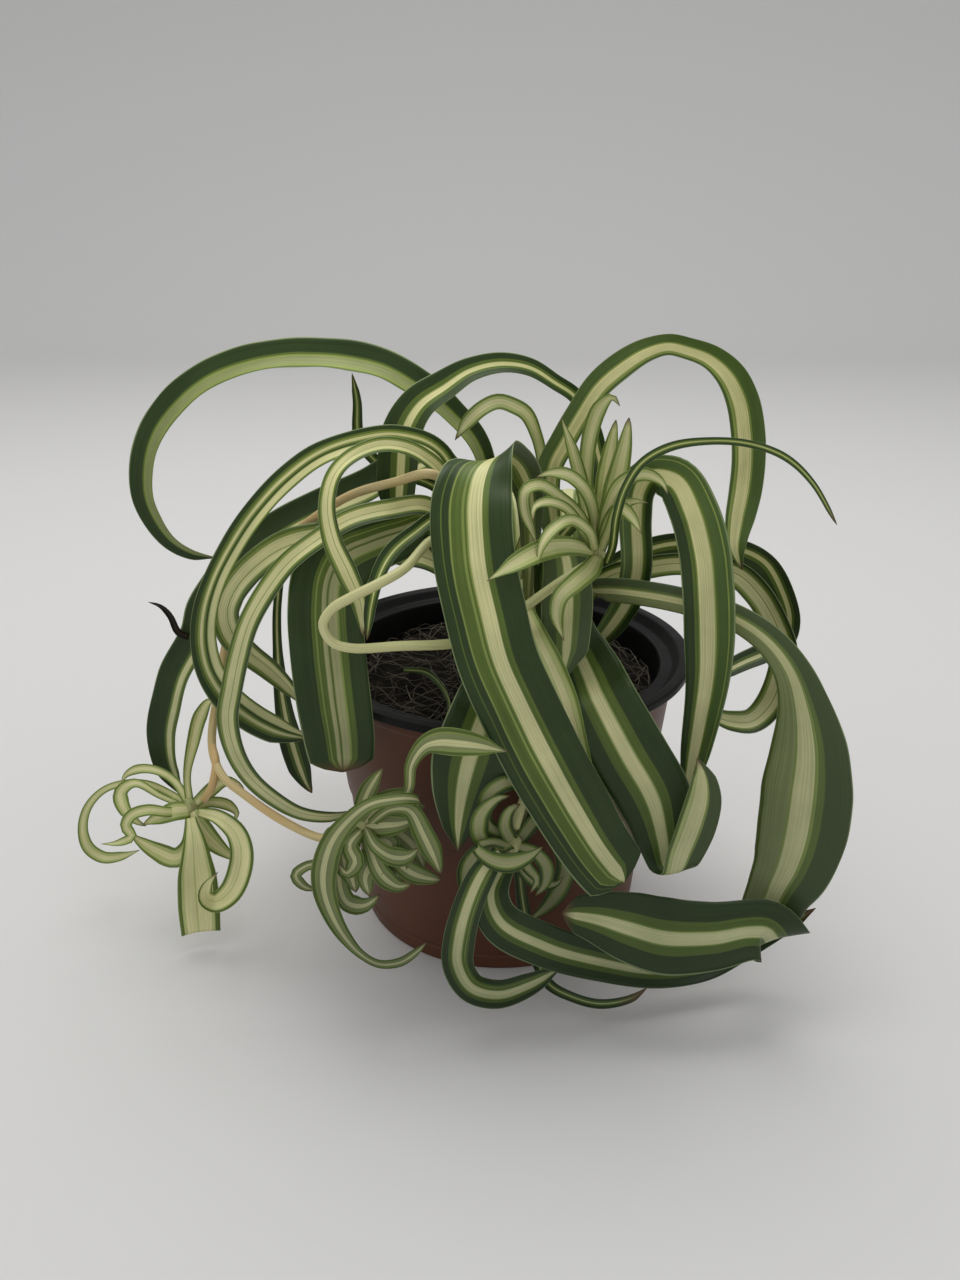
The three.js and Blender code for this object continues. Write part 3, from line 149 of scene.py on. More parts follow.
# ---- Routes ----
LEAVES = {
    "leaf_arch_left": dict(root=(150, 20), roll=(30, 50), route=[
        (480, 450, 4, 8), (450, 412, 5, 10), (420, 388, 6, 11), (385, 368, 7, 12), (350, 359, 8, 12),
        (315, 356, 9, 12), (280, 357, 10, 12), (240, 365, 11, 12), (205, 380, 12, 12), (175, 405, 13, 12),
        (155, 433, 14, 12), (146, 465, 15, 11), (148, 502, 16, 10), (168, 537, 17, 8), (190, 552, 17, 6),
        (216, 558, 18, 2)]),
    "leaf_left_hoop": dict(root=(188, 10), roll=(25, 30), route=[
        (440, 455, -22, 7), (400, 438, -24, 7), (360, 442, -25, 7.5), (320, 456, -26, 7.5),
        (285, 482, -27, 8), (255, 515, -28, 8), (235, 545, -28, 8), (217, 580, -29, 8), (207, 615, -29, 9),
        (206, 645, -30, 9.5), (213, 672, -31, 10), (230, 696, -32, 11), (255, 716, -33, 11),
        (283, 730, -34, 10), (310, 738, -34, 7)]),
    "leaf_pale_loop": dict(root=(240, 10), roll=(20, 35), route=[
        (486, 600, -18, 3.6), (462, 556, -26, 5), (430, 508, -30, 6), (390, 510, -36, 6.5),
        (350, 520, -41, 6.5), (318, 540, -44, 6.5), (290, 562, -46, 6.5), (268, 590, -47, 7),
        (250, 622, -48, 7), (240, 655, -48, 7.5), (233, 690, -49, 7.5), (229, 720, -49, 7.5),
        (236, 752, -50, 7), (252, 778, -50, 6.5), (275, 798, -51, 6), (300, 812, -51, 5),
        (330, 816, -52, 4), (352, 811, -52, 2)]),
    "leaf_left_broad": dict(root=(210, 0), roll=(0, 5), route=[
        (455, 560, -17, 9), (430, 523, -22, 14), (400, 530, -29, 18), (370, 540, -33, 20),
        (345, 552, -37, 22), (330, 577, -41, 22), (326, 610, -47, 22), (328, 650, -51, 22),
        (334, 700, -54, 22), (340, 742, -56, 21), (343, 772, -57, 18)]),
    "leaf_left_droop": dict(root=(140, 0), roll=(20, 20), route=[
        (440, 545, 16, 5), (400, 520, 19, 5), (330, 530, 18, 4), (285, 565, 13, 3.5), (278, 600, 7, 3),
        (278, 650, 0, 3.5), (283, 700, -5, 6), (293, 745, -8, 9), (305, 780, -11, 8), (312, 793, -12, 5)]),
    "leaf_twisted_pale": dict(root=(197, 20), roll=(30, 30), route=[
        (443, 475, -30, 5), (425, 458, -33, 5), (405, 448, -36, 5), (380, 446, -39, 5), (352, 457, -43, 5),
        (335, 475, -47, 5), (328, 505, -51, 5.5), (334, 540, -53, 6.5), (349, 573, -55, 7),
        (361, 603, -57, 5.5), (363, 636, -58, 2.5)]),
    "leaf_slender_green": dict(root=(222, 20), roll=(20, 20), route=[
        (492, 583, -28, 3), (474, 550, -35, 3.5), (445, 515, -39, 4), (414, 533, -46, 4.5),
        (392, 552, -50, 5), (379, 575, -55, 4.5), (371, 605, -60, 3.5), (367, 640, -61.5, 2.5)]),
    "leaf_left_cascade": dict(root=(163, 10), roll=(25, 30), route=[
        (440, 460, 8, 9), (400, 468, 8, 11), (365, 488, 8, 12), (325, 505, 7, 12), (290, 522, 6, 12),
        (262, 541, 5, 12), (238, 560, 4, 12), (215, 590, 2, 12), (203, 610, 0, 12), (197, 635, -2, 12),
        (176, 675, -4, 12), (168, 705, -5, 12), (163, 735, -6, 11), (167, 765, -7, 9), (182, 795, -8, 5)]),
    "leaf_left_low": dict(root=(175, 0), roll=(30, 35), route=[
        (470, 590, -3, 8), (430, 560, -8, 10), (400, 553, -9, 11), (370, 547, -10, 11), (340, 538, -10, 11),
        (310, 540, -11, 11), (280, 550, -11, 11), (255, 568, -12, 11), (236, 590, -12, 11),
        (228, 612, -13, 11), (234, 635, -14, 11), (250, 652, -15, 10), (270, 668, -16, 9),
        (290, 688, -17, 6), (302, 705, -17, 2)]),
    "leaf_middle_arch": dict(root=(60, 20), roll=(20, 30), route=[
        (600, 480, 4, 7), (597, 450, 4, 6), (590, 425, 3, 6), (575, 397, 2, 5), (555, 383, 1, 5),
        (530, 368, 0, 6), (500, 364, -2, 7), (470, 371, -4, 8), (445, 387, -7, 10), (420, 405, -10, 12),
        (405, 432, -13, 14), (400, 480, -16, 14), (398, 540, -18, 10)]),
    "leaf_right_arch": dict(root=(15, 20), roll=(20, 30), route=[
        (548, 470, -10, 9), (562, 440, -10, 9), (578, 412, -9, 9), (596, 385, -8, 9), (620, 364, -7, 9),
        (645, 349, -6, 8), (668, 343, -6, 7), (688, 347, -6, 7), (712, 356, -6, 8), (732, 374, -7, 10),
        (745, 400, -8, 11), (750, 430, -9, 12), (751, 460, -10, 12), (748, 490, -12, 12),
        (742, 520, -15, 10), (738, 548, -19, 7), (742, 570, -21, 3)]),
    "leaf_right_back": dict(root=(45, 0), roll=(25, 35), route=[
        (600, 575, 6, 8), (640, 552, 6, 9), (680, 543, 5, 9), (735, 548, 3, 9), (765, 562, 2, 9),
        (782, 590, 1, 9), (790, 620, 0, 9), (785, 640, -1, 9), (768, 652, -2, 9), (745, 662, -3, 8),
        (725, 672, -4, 7), (697, 684, -5, 3)]),
    "leaf_right_hoop": dict(root=(15, 0), roll=(20, 30), route=[
        (605, 578, -6, 8), (650, 566, -8, 8), (685, 563, -9, 8), (735, 572, -11, 9), (758, 592, -12, 10),
        (775, 620, -13, 10), (785, 650, -14, 10), (781, 680, -15, 10), (770, 706, -16, 11),
        (752, 722, -17, 10), (730, 722, -17, 8), (708, 715, -18, 5), (692, 714, -18, 3)]),
    "leaf_right_tall": dict(root=(346, 0), roll=(10, 10), route=[
        (590, 645, -12, 8), (620, 612, -16, 9), (635, 575, -20, 10), (635, 520, -26, 10),
        (638, 490, -32, 10), (650, 474, -38, 11), (677, 480, -42, 13), (694, 510, -45, 14),
        (705, 550, -47, 15), (709, 590, -49, 15), (710, 640, -50, 15), (708, 680, -51, 13),
        (702, 720, -52, 11), (695, 755, -53, 9), (688, 785, -54, 5), (679, 812, -55, 2)]),
    "leaf_right_sweep": dict(root=(338, 10), roll=(15, 0), fold_point=15, route=[
        (580, 592, -14, 8), (605, 590, -24, 8), (645, 594, -34, 8), (690, 603, -40, 8), (735, 618, -44, 8),
        (770, 642, -48, 9), (792, 672, -52, 11), (803, 705, -55, 15), (808, 745, -58, 22),
        (806, 790, -61, 27), (801, 830, -63, 27), (790, 868, -65, 24), (777, 894, -66, 19),
        (769, 917, -67, 17.5), (773, 938, -69, 21), (775, 941, -72.5, 22), (766, 931, -76, 19),
        (748, 930, -77.5, 17), (712, 936, -78, 20), (665, 936, -78, 23), (630, 927, -78, 21),
        (598, 918, -77.5, 16), (562, 913, -77.5, 8)]),
    "leaf_front_broad": dict(root=(275, 20), roll=(0, 5), route=[
        (530, 500, -12, 9), (523, 476, -18, 12), (512, 460, -27, 11), (496, 456, -36, 14),
        (481, 468, -45, 18.5), (472, 502, -54, 22.5), (474, 555, -61, 22.5), (485, 610, -66, 22.5),
        (498, 660, -70, 22.5), (520, 710, -74, 22.5), (545, 760, -76.5, 22.5), (572, 808, -78, 22),
        (596, 848, -79, 21), (611, 868, -80, 20), (624, 882, -80.5, 18)]),
    "leaf_front_right": dict(root=(318, 0), roll=(0, 0), route=[
        (572, 612, -22, 8), (577, 642, -34, 16), (590, 675, -47, 20), (600, 700, -60, 21),
        (630, 755, -67, 22), (655, 800, -69, 22), (664, 838, -70, 17), (668, 866, -72, 11),
        (676, 872, -76, 9), (686, 852, -78, 10), (697, 825, -79, 11), (704, 798, -79, 10),
        (703, 774, -79, 6), (697, 758, -79, 2)]),
    "leaf_front_short": dict(root=(298, 0), roll=(0, 0), route=[
        (545, 578, -18, 7), (556, 542, -22, 12), (565, 560, -27, 14), (567, 600, -36, 16),
        (565, 650, -47, 14), (562, 682, -54, 5)]),
    "leaf_front_slip": dict(root=(280, 10), roll=(0, 0), route=[
        (524, 605, -28, 4), (533, 624, -42, 5), (541, 642, -53, 6), (551, 662, -61, 6.5),
        (566, 698, -68.5, 6.5), (577, 738, -71, 5.5), (587, 774, -72.5, 4), (595, 802, -73, 1.5)]),
    "leaf_front_left": dict(root=(248, 0), roll=(0, 0), route=[
        (508, 655, -24, 11), (500, 680, -45, 17), (490, 705, -63, 20), (480, 735, -69, 22),
        (470, 765, -70, 23), (463, 795, -70.5, 18), (459, 825, -70.5, 10), (458, 852, -70.5, 3)]),
    "leaf_top_curl": dict(root=(105, 20), roll=(20, 20), route=[
        (545, 480, 4, 4), (542, 460, 1, 4), (536, 435, -2, 4), (526, 414, -3, 5), (513, 406, -4, 5),
        (498, 402, -5, 5), (482, 409, -7, 5), (468, 422, -8, 5), (455, 440, -10, 2)]),
    "leaf_spike": dict(root=(130, 10), roll=(0, 0), route=[
        (440, 490, 18, 4), (385, 468, 18, 4), (360, 440, 18, 4), (357, 400, 18, 3), (352, 373, 18, 1.5)]),
    "leaf_back_left": dict(root=(120, 0), roll=(0, 0), route=[
        (455, 555, 28, 10), (415, 535, 48, 12), (372, 565, 70, 12), (345, 630, 82, 12), (336, 700, 88, 5)]),
    "leaf_back_centre": dict(root=(97, 10), roll=(0, 0), route=[
        (522, 540, 20, 12), (520, 500, 32, 15), (510, 490, 50, 15), (497, 530, 70, 14), (487, 610, 83, 13),
        (490, 660, 88, 11), (492, 710, 90, 4)]),
    "leaf_back_right": dict(root=(75, 0), roll=(0, 0), route=[
        (566, 560, 18, 11), (568, 505, 28, 14), (570, 492, 46, 14), (568, 545, 70, 12), (566, 645, 82, 9),
        (565, 690, 85, 4)]),
}

STOLONS = {
    "stolon_front_loop": dict(root=(248, 20), route=[
        (482, 568, -44), (447, 537, -47), (432, 540, -48), (405, 568, -58), (380, 583, -64),
        (350, 598, -66), (332, 609, -66), (323, 625, -66), (332, 642, -66), (350, 648, -66),
        (400, 646, -63), (455, 643, -58), (500, 630, -54), (527, 606, -47), (560, 582, -42),
        (585, 566, -37)]),
    "stolon_left_pair": dict(root=(215, 10), route=[
        (478, 560, -19), (450, 488, -35), (431, 474, -39), (395, 482, -33), (345, 498, -13), (300, 528, -3),
        (260, 560, -3), (232, 620, -4), (218, 690, -8), (212, 745, -16), (222, 775, -27), (245, 795, -36),
        (285, 822, -48), (322, 838, -57), (339, 835, -60)],
        branch=[(212, 745, -16), (216, 765, -23), (212, 786, -25), (204.5, 799, -20.5)]),
    "stolon_front": dict(root=(270, 0), route=[
        (528, 640, -30), (534, 670, -47), (538, 700, -60), (539, 732, -67.5), (533, 770, -70),
        (522, 804, -71), (515, 827, -71)]),
}

PLANTLETS = {
    "plantlet_left": dict(centre=(190, 806, -20), core=3.2, leaflets=[
        [(190, 806, -20, 3), (187, 775, -16, 2.5), (193, 742, -14, 4.5), (200, 716, -14, 5),
         (210, 701, -15, 4.5), (218, 704, -17, 2)],
        [(188, 802, -20, 3), (174, 781, -16, 3), (158, 771, -15, 3), (139, 769, -14, 3.5),
         (126, 775, -14, 3), (121, 784, -14, 1.2)],
        [(188, 806, -20, 3), (169, 793, -13, 2.5), (148, 784, -12, 2.5), (126, 783, -12, 2.5),
         (104, 790, -12, 2.5), (88, 807, -12, 3), (83, 829, -12, 3.5), (89, 848, -12, 4.5),
         (103, 857, -12, 4.5), (121, 856, -13, 3.5), (140, 850, -14, 1)],
        [(186, 810, -21, 3), (168, 812, -25, 3.5), (148, 810, -27, 4), (132, 815, -28, 4),
         (126, 826, -29, 4), (132, 836, -30, 3.5), (118, 843, -31, 2.5), (101, 844, -31, 1)],
        [(184, 806, -20, 2), (160, 796, -19, 2), (135, 783, -18, 3), (121, 792, -19, 5),
         (124, 808, -22, 5.5), (136, 821, -24, 5), (146, 826, -24, 3)],
        [(190, 810, -22, 5), (175, 811, -24, 8), (160, 817, -25, 8.5), (148, 822, -25, 6),
         (143, 825, -25, 3)],
        [(192, 812, -22, 4), (190, 846, -26, 7), (176, 858, -28, 7), (156, 851, -28, 7),
         (138, 840, -28, 6.5), (130, 833, -28, 3)],
        [(192, 812, -22, 5), (204, 832, -25, 8), (220, 848, -26, 8), (240, 862, -27, 5)],
        [(194, 804, -20, 3), (208, 792, -18, 5), (224, 781, -17, 6), (238, 784, -17, 5),
         (244, 789, -17, 3)],
        [(196, 806, -20, 3), (212, 802, -15, 4), (228, 805, -14, 4.5), (237, 814, -14, 3),
         (232, 822, -14, 1.5)]]),
    "plantlet_front_left": dict(centre=(363, 826, -62), core=3.2, leaflets=[
        [(363, 824, -62, 4), (362, 806, -64, 5), (368, 790, -66, 5.5), (378, 774, -67, 5),
         (383, 768, -67, 3)],
        [(364, 824, -62, 3), (392, 812, -66, 3), (408, 790, -70, 3), (411, 765, -72, 3.5),
         (424, 746, -75, 5), (440, 741, -78, 8), (458, 742, -80, 8), (480, 745, -81, 6),
         (508, 752, -82, 1)],
        [(366, 824, -63, 3), (392, 818, -65, 3), (414, 810, -67, 3), (420, 802, -70, 3),
         (408, 799, -73, 3.5), (392, 800, -74, 3.5), (370, 805, -74, 4), (350, 820, -74, 5),
         (333, 842, -74, 7), (325, 868, -74, 8), (325, 892, -73, 7), (333, 916, -72, 5.5),
         (346, 938, -71, 4), (362, 955, -70, 2.5), (380, 964, -69, 2.5), (400, 962, -68, 3),
         (416, 952, -67, 2.5), (427, 942, -67, 1)],
        [(364, 828, -63, 4), (352, 838, -66, 7), (346, 856, -68, 8), (352, 876, -68, 7.5),
         (356, 892, -67, 6)],
        [(366, 828, -63, 4), (376, 840, -66, 8), (374, 860, -68, 8.5), (366, 878, -69, 8),
         (370, 896, -69, 6)],
        [(362, 830, -62, 4), (345, 850, -64, 4), (340, 878, -65, 5), (348, 902, -65, 6), (364, 905, -66, 6),
         (380, 895, -66, 4)],
        [(361, 828, -62, 3), (340, 842, -62, 3), (325, 862, -62, 3), (307, 866, -62, 3),
         (296, 875, -62, 3.5), (304, 886, -62, 4.5), (316, 890, -62, 4)],
        [(361, 826, -62, 3), (345, 830, -61, 4), (332, 832, -61, 4), (326, 842, -61, 3),
         (333, 850, -62, 2)],
        [(364, 826, -63, 5), (382, 824, -66, 9), (400, 823, -68, 10), (416, 819, -69, 9)],
        [(366, 828, -64, 3), (376, 846, -71, 4), (392, 856, -72, 6), (408, 856, -72, 6),
         (420, 847, -72, 1)],
        [(367, 826, -63, 3), (392, 809, -69, 3), (410, 810, -71, 5), (424, 834, -72, 6.5),
         (436, 860, -72, 6.5), (441, 874, -72, 5)],
        [(368, 830, -63, 3), (398, 862, -67, 5), (414, 873, -68, 7), (430, 878, -68, 7.5),
         (442, 880, -68, 6)],
        [(367, 830, -63, 4), (388, 846, -66, 6), (398, 866, -67, 8), (396, 886, -67, 7.5)],
        [(364, 824, -63, 4), (380, 806, -65, 7), (398, 796, -66, 8), (414, 790, -67, 6)],
        [(366, 828, -63, 4), (380, 836, -67, 6), (392, 846, -69, 6), (386, 858, -70, 5.5),
         (380, 850, -71, 4)],
        [(365, 830, -64, 3), (372, 852, -69, 5), (382, 874, -70, 6), (398, 886, -70, 6),
         (412, 884, -70, 4)],
        [(366, 826, -62, 4), (392, 828, -61, 7), (415, 846, -61, 8), (425, 868, -61, 5)],
        [(362, 830, -64, 3), (350, 846, -69, 5), (356, 862, -71.5, 6), (346, 874, -72, 5),
         (338, 864, -71, 3.5)]]),
    "plantlet_front": dict(centre=(514, 844, -72), core=3.4, leaflets=[
        [(512, 842, -73, 4), (494, 846, -76, 5), (480, 836, -78, 5.5), (481, 815, -78, 6),
         (497, 799, -77, 5), (510, 796, -76, 3)],
        [(510, 846, -73, 3), (490, 842, -79, 2.5), (477, 848, -83, 3), (490, 859, -84, 5),
         (508, 863, -84, 6), (528, 857, -83, 5), (544, 846, -80, 1.5)],
        [(512, 842, -73, 4), (505, 825, -76, 7), (510, 810, -77, 8), (520, 804, -77, 6)],
        [(514, 840, -71, 4), (524, 820, -66, 7), (534, 808, -64.5, 8), (543, 803, -64, 5)],
        [(518, 842, -71, 4), (540, 818, -68, 5), (556, 835, -67, 6), (566, 862, -66, 6), (562, 884, -65, 6),
         (548, 905, -65, 6.5), (530, 920, -65, 4)],
        [(516, 849, -72, 4), (524, 870, -71, 4.5), (540, 884, -69, 4.5), (556, 884, -68, 3),
         (564, 876, -68, 1)],
        [(512, 850, -73, 4), (500, 872, -73, 4), (497, 892, -71, 4), (508, 905, -69, 2)],
        [(516, 850, -73, 3), (528, 868, -75, 4), (537, 880, -77, 4), (530, 893, -78, 2)],
        [(510, 838, -72, 3), (486, 822, -75, 4), (487, 797, -75, 5), (505, 783, -74, 5),
         (523, 785, -73, 4.5), (532, 800, -74, 2)],
        [(509, 846, -74, 3), (484, 848, -78, 4), (470, 862, -78.5, 5.5), (465, 885, -78, 5.5),
         (467, 905, -77, 3)],
        [(517, 846, -73, 3), (534, 852, -74, 4), (546, 866, -74, 5), (545, 884, -74, 5),
         (535, 896, -74, 2)],
        [(515, 840, -70, 3), (523, 818, -66, 5), (528, 800, -65.5, 6), (536, 788, -65.5, 5)]]),
    "plantlet_right": dict(centre=(598, 552, -31), core=3.4, leaflets=[
        [(597, 548, -31, 3.5), (590, 525, -28, 4), (583, 490, -26, 4.5), (574, 455, -26, 4),
         (561, 417, -26, 1)],
        [(597, 548, -31, 3.5), (588, 515, -24, 4), (586, 475, -22, 4.5), (590, 435, -21, 5),
         (600, 407, -21, 5), (612, 397, -21, 4), (620, 406, -21, 1)],
        [(598, 547, -32, 4), (601, 515, -34, 5), (606, 475, -36, 6), (612, 440, -37, 6.5),
         (616, 420, -38, 5)],
        [(600, 547, -32, 4), (608, 515, -38, 5.5), (617, 478, -42, 7), (625, 442, -44, 7.5),
         (629, 418, -45, 6.5)],
        [(596, 547, -32, 3.5), (594, 515, -38, 3.5), (585, 490, -42, 4), (568, 475, -44, 4),
         (550, 473, -45, 3.5), (535, 478, -45, 1)],
        [(595, 548, -32, 3), (580, 515, -40, 3), (560, 497, -46, 3.5), (540, 485, -49, 3.5),
         (526, 490, -51, 3.5), (525, 510, -52, 3.5), (532, 530, -53, 3), (537, 546, -53, 1.5)],
        [(595, 549, -33, 3), (583, 530, -42, 3), (566, 508, -48, 3), (546, 502, -53, 3), (534, 508, -56, 3),
         (533, 522, -57, 1.5)],
        [(595, 550, -33, 3), (588, 530, -46, 3), (570, 520, -52, 3.5), (552, 530, -57, 3.5),
         (541, 548, -60, 3.5), (538, 566, -61, 1.5)],
        [(594, 551, -32, 4), (570, 546, -45, 5.5), (545, 549, -56, 6.5), (518, 562, -67, 5.5),
         (487, 581, -74, 1)],
        [(601, 548, -32, 3.5), (609, 520, -42, 3.5), (622, 505, -47, 4), (636, 501, -49, 3),
         (648, 503, -50, 1)],
        [(601, 550, -32, 3), (610, 528, -44, 3), (622, 508, -51, 4.5), (632, 517, -53, 5),
         (642, 534, -54, 2)],
        [(600, 548, -32, 3), (607, 510, -44, 3.5), (622, 482, -50, 4), (645, 474, -53, 4),
         (662, 482, -55, 3), (668, 495, -56, 1)],
        [(598, 556, -33, 4), (590, 570, -42, 6.5), (575, 583, -50, 6), (560, 598, -55, 5),
         (557, 618, -57, 4), (564, 641, -58, 1)]]),
}

FREE_LEAVES = {
    "dried_tip": dict(roll=(0, 0), route=[
        (189, 637, -3, 2.5), (178, 632, -5, 2.5), (170, 616, -6, 2), (160, 606, -7, 1.8),
        (148, 602, -7, 1)]),
    "soil_wisp": dict(roll=(0, 0), route=[
        (404, 670, -2.5, 2), (425, 672, -14, 2.5), (441, 685, -34, 2.5), (450, 706, -56, 2.5),
        (449, 727, -67, 1.5)]),
    "plantlet_left_strap": dict(roll=(0, 0), route=[
        (191, 818, -24.4, 3), (195, 845, -32, 8), (197, 875, -35, 13), (199, 905, -37, 14),
        (201, 932, -38, 13)]),
    "plantlet_left_hook": dict(roll=(15, 15), route=[
        (199, 812, -23, 3), (220, 818, -31, 5.5), (236, 832, -35, 7), (242, 850, -38, 8),
        (240, 872, -40, 8.5), (231, 892, -42, 8.5), (216, 903, -43, 7.5), (205, 898, -44.5, 5.5),
        (207, 885, -45, 4), (218, 872, -44.5, 1)]),
    "plantlet_front_runner": dict(roll=(10, 0), route=[
        (508, 861, -74.5, 5), (492, 892, -79, 11), (502, 922, -79, 13), (545, 945, -78, 13),
        (600, 961, -72, 12), (655, 970, -67, 11), (705, 964, -63, 10), (750, 943, -60, 8),
        (790, 923, -60, 5), (816, 908, -61, 1.5)]),
    "plantlet_front_droop": dict(roll=(10, 0), route=[
        (499.5, 852, -80.2, 4), (484, 872, -84, 8), (470, 902, -85, 8.5), (460, 938, -84, 9.5),
        (459, 966, -82, 9.5), (473, 988, -80, 9), (499, 994, -78, 8.5), (530, 984, -76, 7),
        (562, 967, -75, 2)]),
    "plantlet_front_tail": dict(roll=(0, 0), route=[
        (518, 857, -69.8, 3), (524, 910, -61, 4), (534, 950, -64, 4), (548, 983, -70, 3.5),
        (572, 997, -74, 3), (600, 1004, -76, 3), (630, 999, -77, 2.5), (647, 988, -78, 1.5)]),
    "plantlet_right_whip": dict(roll=(0, 0), route=[
        (607, 563, -37, 2.5), (613, 545, -47, 2.5), (617, 515, -56, 2.5), (626, 487, -60, 2.5),
        (642, 463, -61, 2.5), (670, 447, -60, 2.5), (710, 441, -58, 2), (750, 444, -57, 2),
        (785, 457, -56, 2), (812, 482, -55, 1.6), (837, 525, -55, 1.2)]),
}

# ---- Leaf colours, linear ----
DARK = (0.027, 0.055, 0.010)
GREEN = (0.105, 0.160, 0.026)
FERN = (0.085, 0.145, 0.037)
LIGHT = (0.26, 0.33, 0.085)
CREAM = (0.72, 0.70, 0.385)
MARGIN = (0.26, 0.33, 0.16)
UNDERSIDE = (0.30, 0.34, 0.17)
FRESH = (0.15, 0.22, 0.045)
PALE = (0.50, 0.55, 0.23)
OLIVE = (0.25, 0.29, 0.125)
PALE_GREEN = (0.27, 0.31, 0.13)
# Cream dimmed as painted shade, for the stripes of leaves that lie in shadow.
CREAM_IN_PAINTED_SHADE = (0.42, 0.42, 0.22)
BASE_PALE = (0.40, 0.44, 0.17)
DRIED = (0.10, 0.055, 0.022)
CHARRED = (0.012, 0.010, 0.009)

# Stripes across a leaf, from left to right where it hangs down in front of the viewer: each is
# (where it starts, colour), and runs on to the next.
STRIPES = {
    "arch": [(0, MARGIN), (0.02, DARK), (0.34, GREEN), (0.39, LIGHT), (0.44, PALE_GREEN), (0.80, LIGHT),
             (0.90, GREEN), (0.98, MARGIN)],
    "fern": [(0, MARGIN), (0.02, FERN), (0.46, LIGHT), (0.52, CREAM), (0.84, LIGHT), (0.92, FERN),
             (0.98, MARGIN)],
    "tall": [(0, MARGIN), (0.02, DARK), (0.20, GREEN), (0.27, LIGHT), (0.30, CREAM), (0.60, LIGHT),
             (0.63, GREEN), (0.68, FERN), (0.86, LIGHT), (0.89, FERN), (0.97, MARGIN)],
    "streaked": [(0, MARGIN), (0.02, DARK), (0.15, GREEN), (0.22, LIGHT), (0.28, CREAM), (0.38, LIGHT),
                 (0.42, GREEN), (0.47, DARK), (0.52, LIGHT), (0.56, CREAM), (0.86, LIGHT), (0.93, GREEN)],
    # Painted shade: a plantlet's young stripes darkened, as it lies in shadow.
    "shaded": [(0, GREEN), (0.04, DARK), (0.14, GREEN), (0.24, LIGHT), (0.30, CREAM_IN_PAINTED_SHADE), (0.72, LIGHT),
               (0.82, GREEN), (0.96, DARK)],
    "tangled": [(0, LIGHT), (0.03, GREEN), (0.14, LIGHT), (0.20, PALE_GREEN), (0.34, CREAM),
                (0.56, PALE_GREEN), (0.78, LIGHT), (0.84, GREEN), (0.97, LIGHT)],
    # Its cream stripes are dimmed as painted shade.
    "lined": [(0, MARGIN), (0.012, DARK), (0.30, GREEN), (0.35, LIGHT), (0.37, GREEN), (0.44, CREAM_IN_PAINTED_SHADE),
              (0.50, GREEN), (0.53, CREAM_IN_PAINTED_SHADE), (0.64, LIGHT), (0.67, GREEN), (0.76, DARK),
              (0.988, MARGIN)],
    "edge": [(0, MARGIN), (0.02, DARK), (0.52, GREEN), (0.58, LIGHT), (0.62, CREAM), (0.82, LIGHT),
             (0.87, GREEN), (0.98, MARGIN)],
    "dried": [(0, CHARRED), (0.42, DRIED), (0.5, CHARRED)],
    "folded": [(0, MARGIN), (0.02, GREEN), (0.10, PALE), (0.22, CREAM), (0.60, LIGHT), (0.66, DARK),
               (0.985, MARGIN)],
    "broad": [(0, MARGIN), (0.012, DARK), (0.125, GREEN), (0.14, DARK), (0.22, LIGHT), (0.24, GREEN),
              (0.37, LIGHT), (0.40, GREEN), (0.425, LIGHT), (0.445, CREAM), (0.62, GREEN), (0.70, DARK),
              (0.988, MARGIN)],
    "even": [(0, MARGIN), (0.012, DARK), (0.25, GREEN), (0.37, LIGHT), (0.39, CREAM), (0.56, LIGHT),
             (0.58, GREEN), (0.70, DARK), (0.988, MARGIN)],
    "slim": [(0, MARGIN), (0.02, DARK), (0.20, GREEN), (0.30, LIGHT), (0.34, CREAM), (0.60, LIGHT),
             (0.64, GREEN), (0.70, LIGHT), (0.73, GREEN), (0.80, DARK), (0.98, MARGIN)],
    "cream": [(0, MARGIN), (0.02, GREEN), (0.10, LIGHT), (0.18, CREAM), (0.44, LIGHT), (0.47, CREAM),
              (0.70, LIGHT), (0.76, GREEN), (0.86, DARK), (0.97, MARGIN)],
    "green": [(0, MARGIN), (0.02, DARK), (0.3, GREEN), (0.42, LIGHT), (0.5, CREAM), (0.56, LIGHT),
              (0.62, GREEN), (0.76, DARK), (0.98, MARGIN)],
    "young": [(0, LIGHT), (0.03, FRESH), (0.12, LIGHT), (0.16, PALE), (0.30, CREAM), (0.62, PALE),
              (0.82, LIGHT), (0.87, FRESH), (0.97, LIGHT)],
    "pale": [(0, LIGHT), (0.025, GREEN), (0.10, PALE), (0.17, CREAM), (0.42, PALE), (0.46, CREAM),
             (0.80, PALE), (0.87, GREEN), (0.98, LIGHT)],
    "sweep": [(0, MARGIN), (0.012, GREEN), (0.05, OLIVE), (0.33, LIGHT), (0.36, CREAM), (0.58, LIGHT),
              (0.62, GREEN), (0.70, DARK), (0.988, MARGIN)],
}

STRIPE_BLEND = 0.006
KINDS_WITHOUT_PAINTED_LIGHT = ("young", "pale")  # these get none of the painted shade towards the foot of the plant nor the painted light higher up
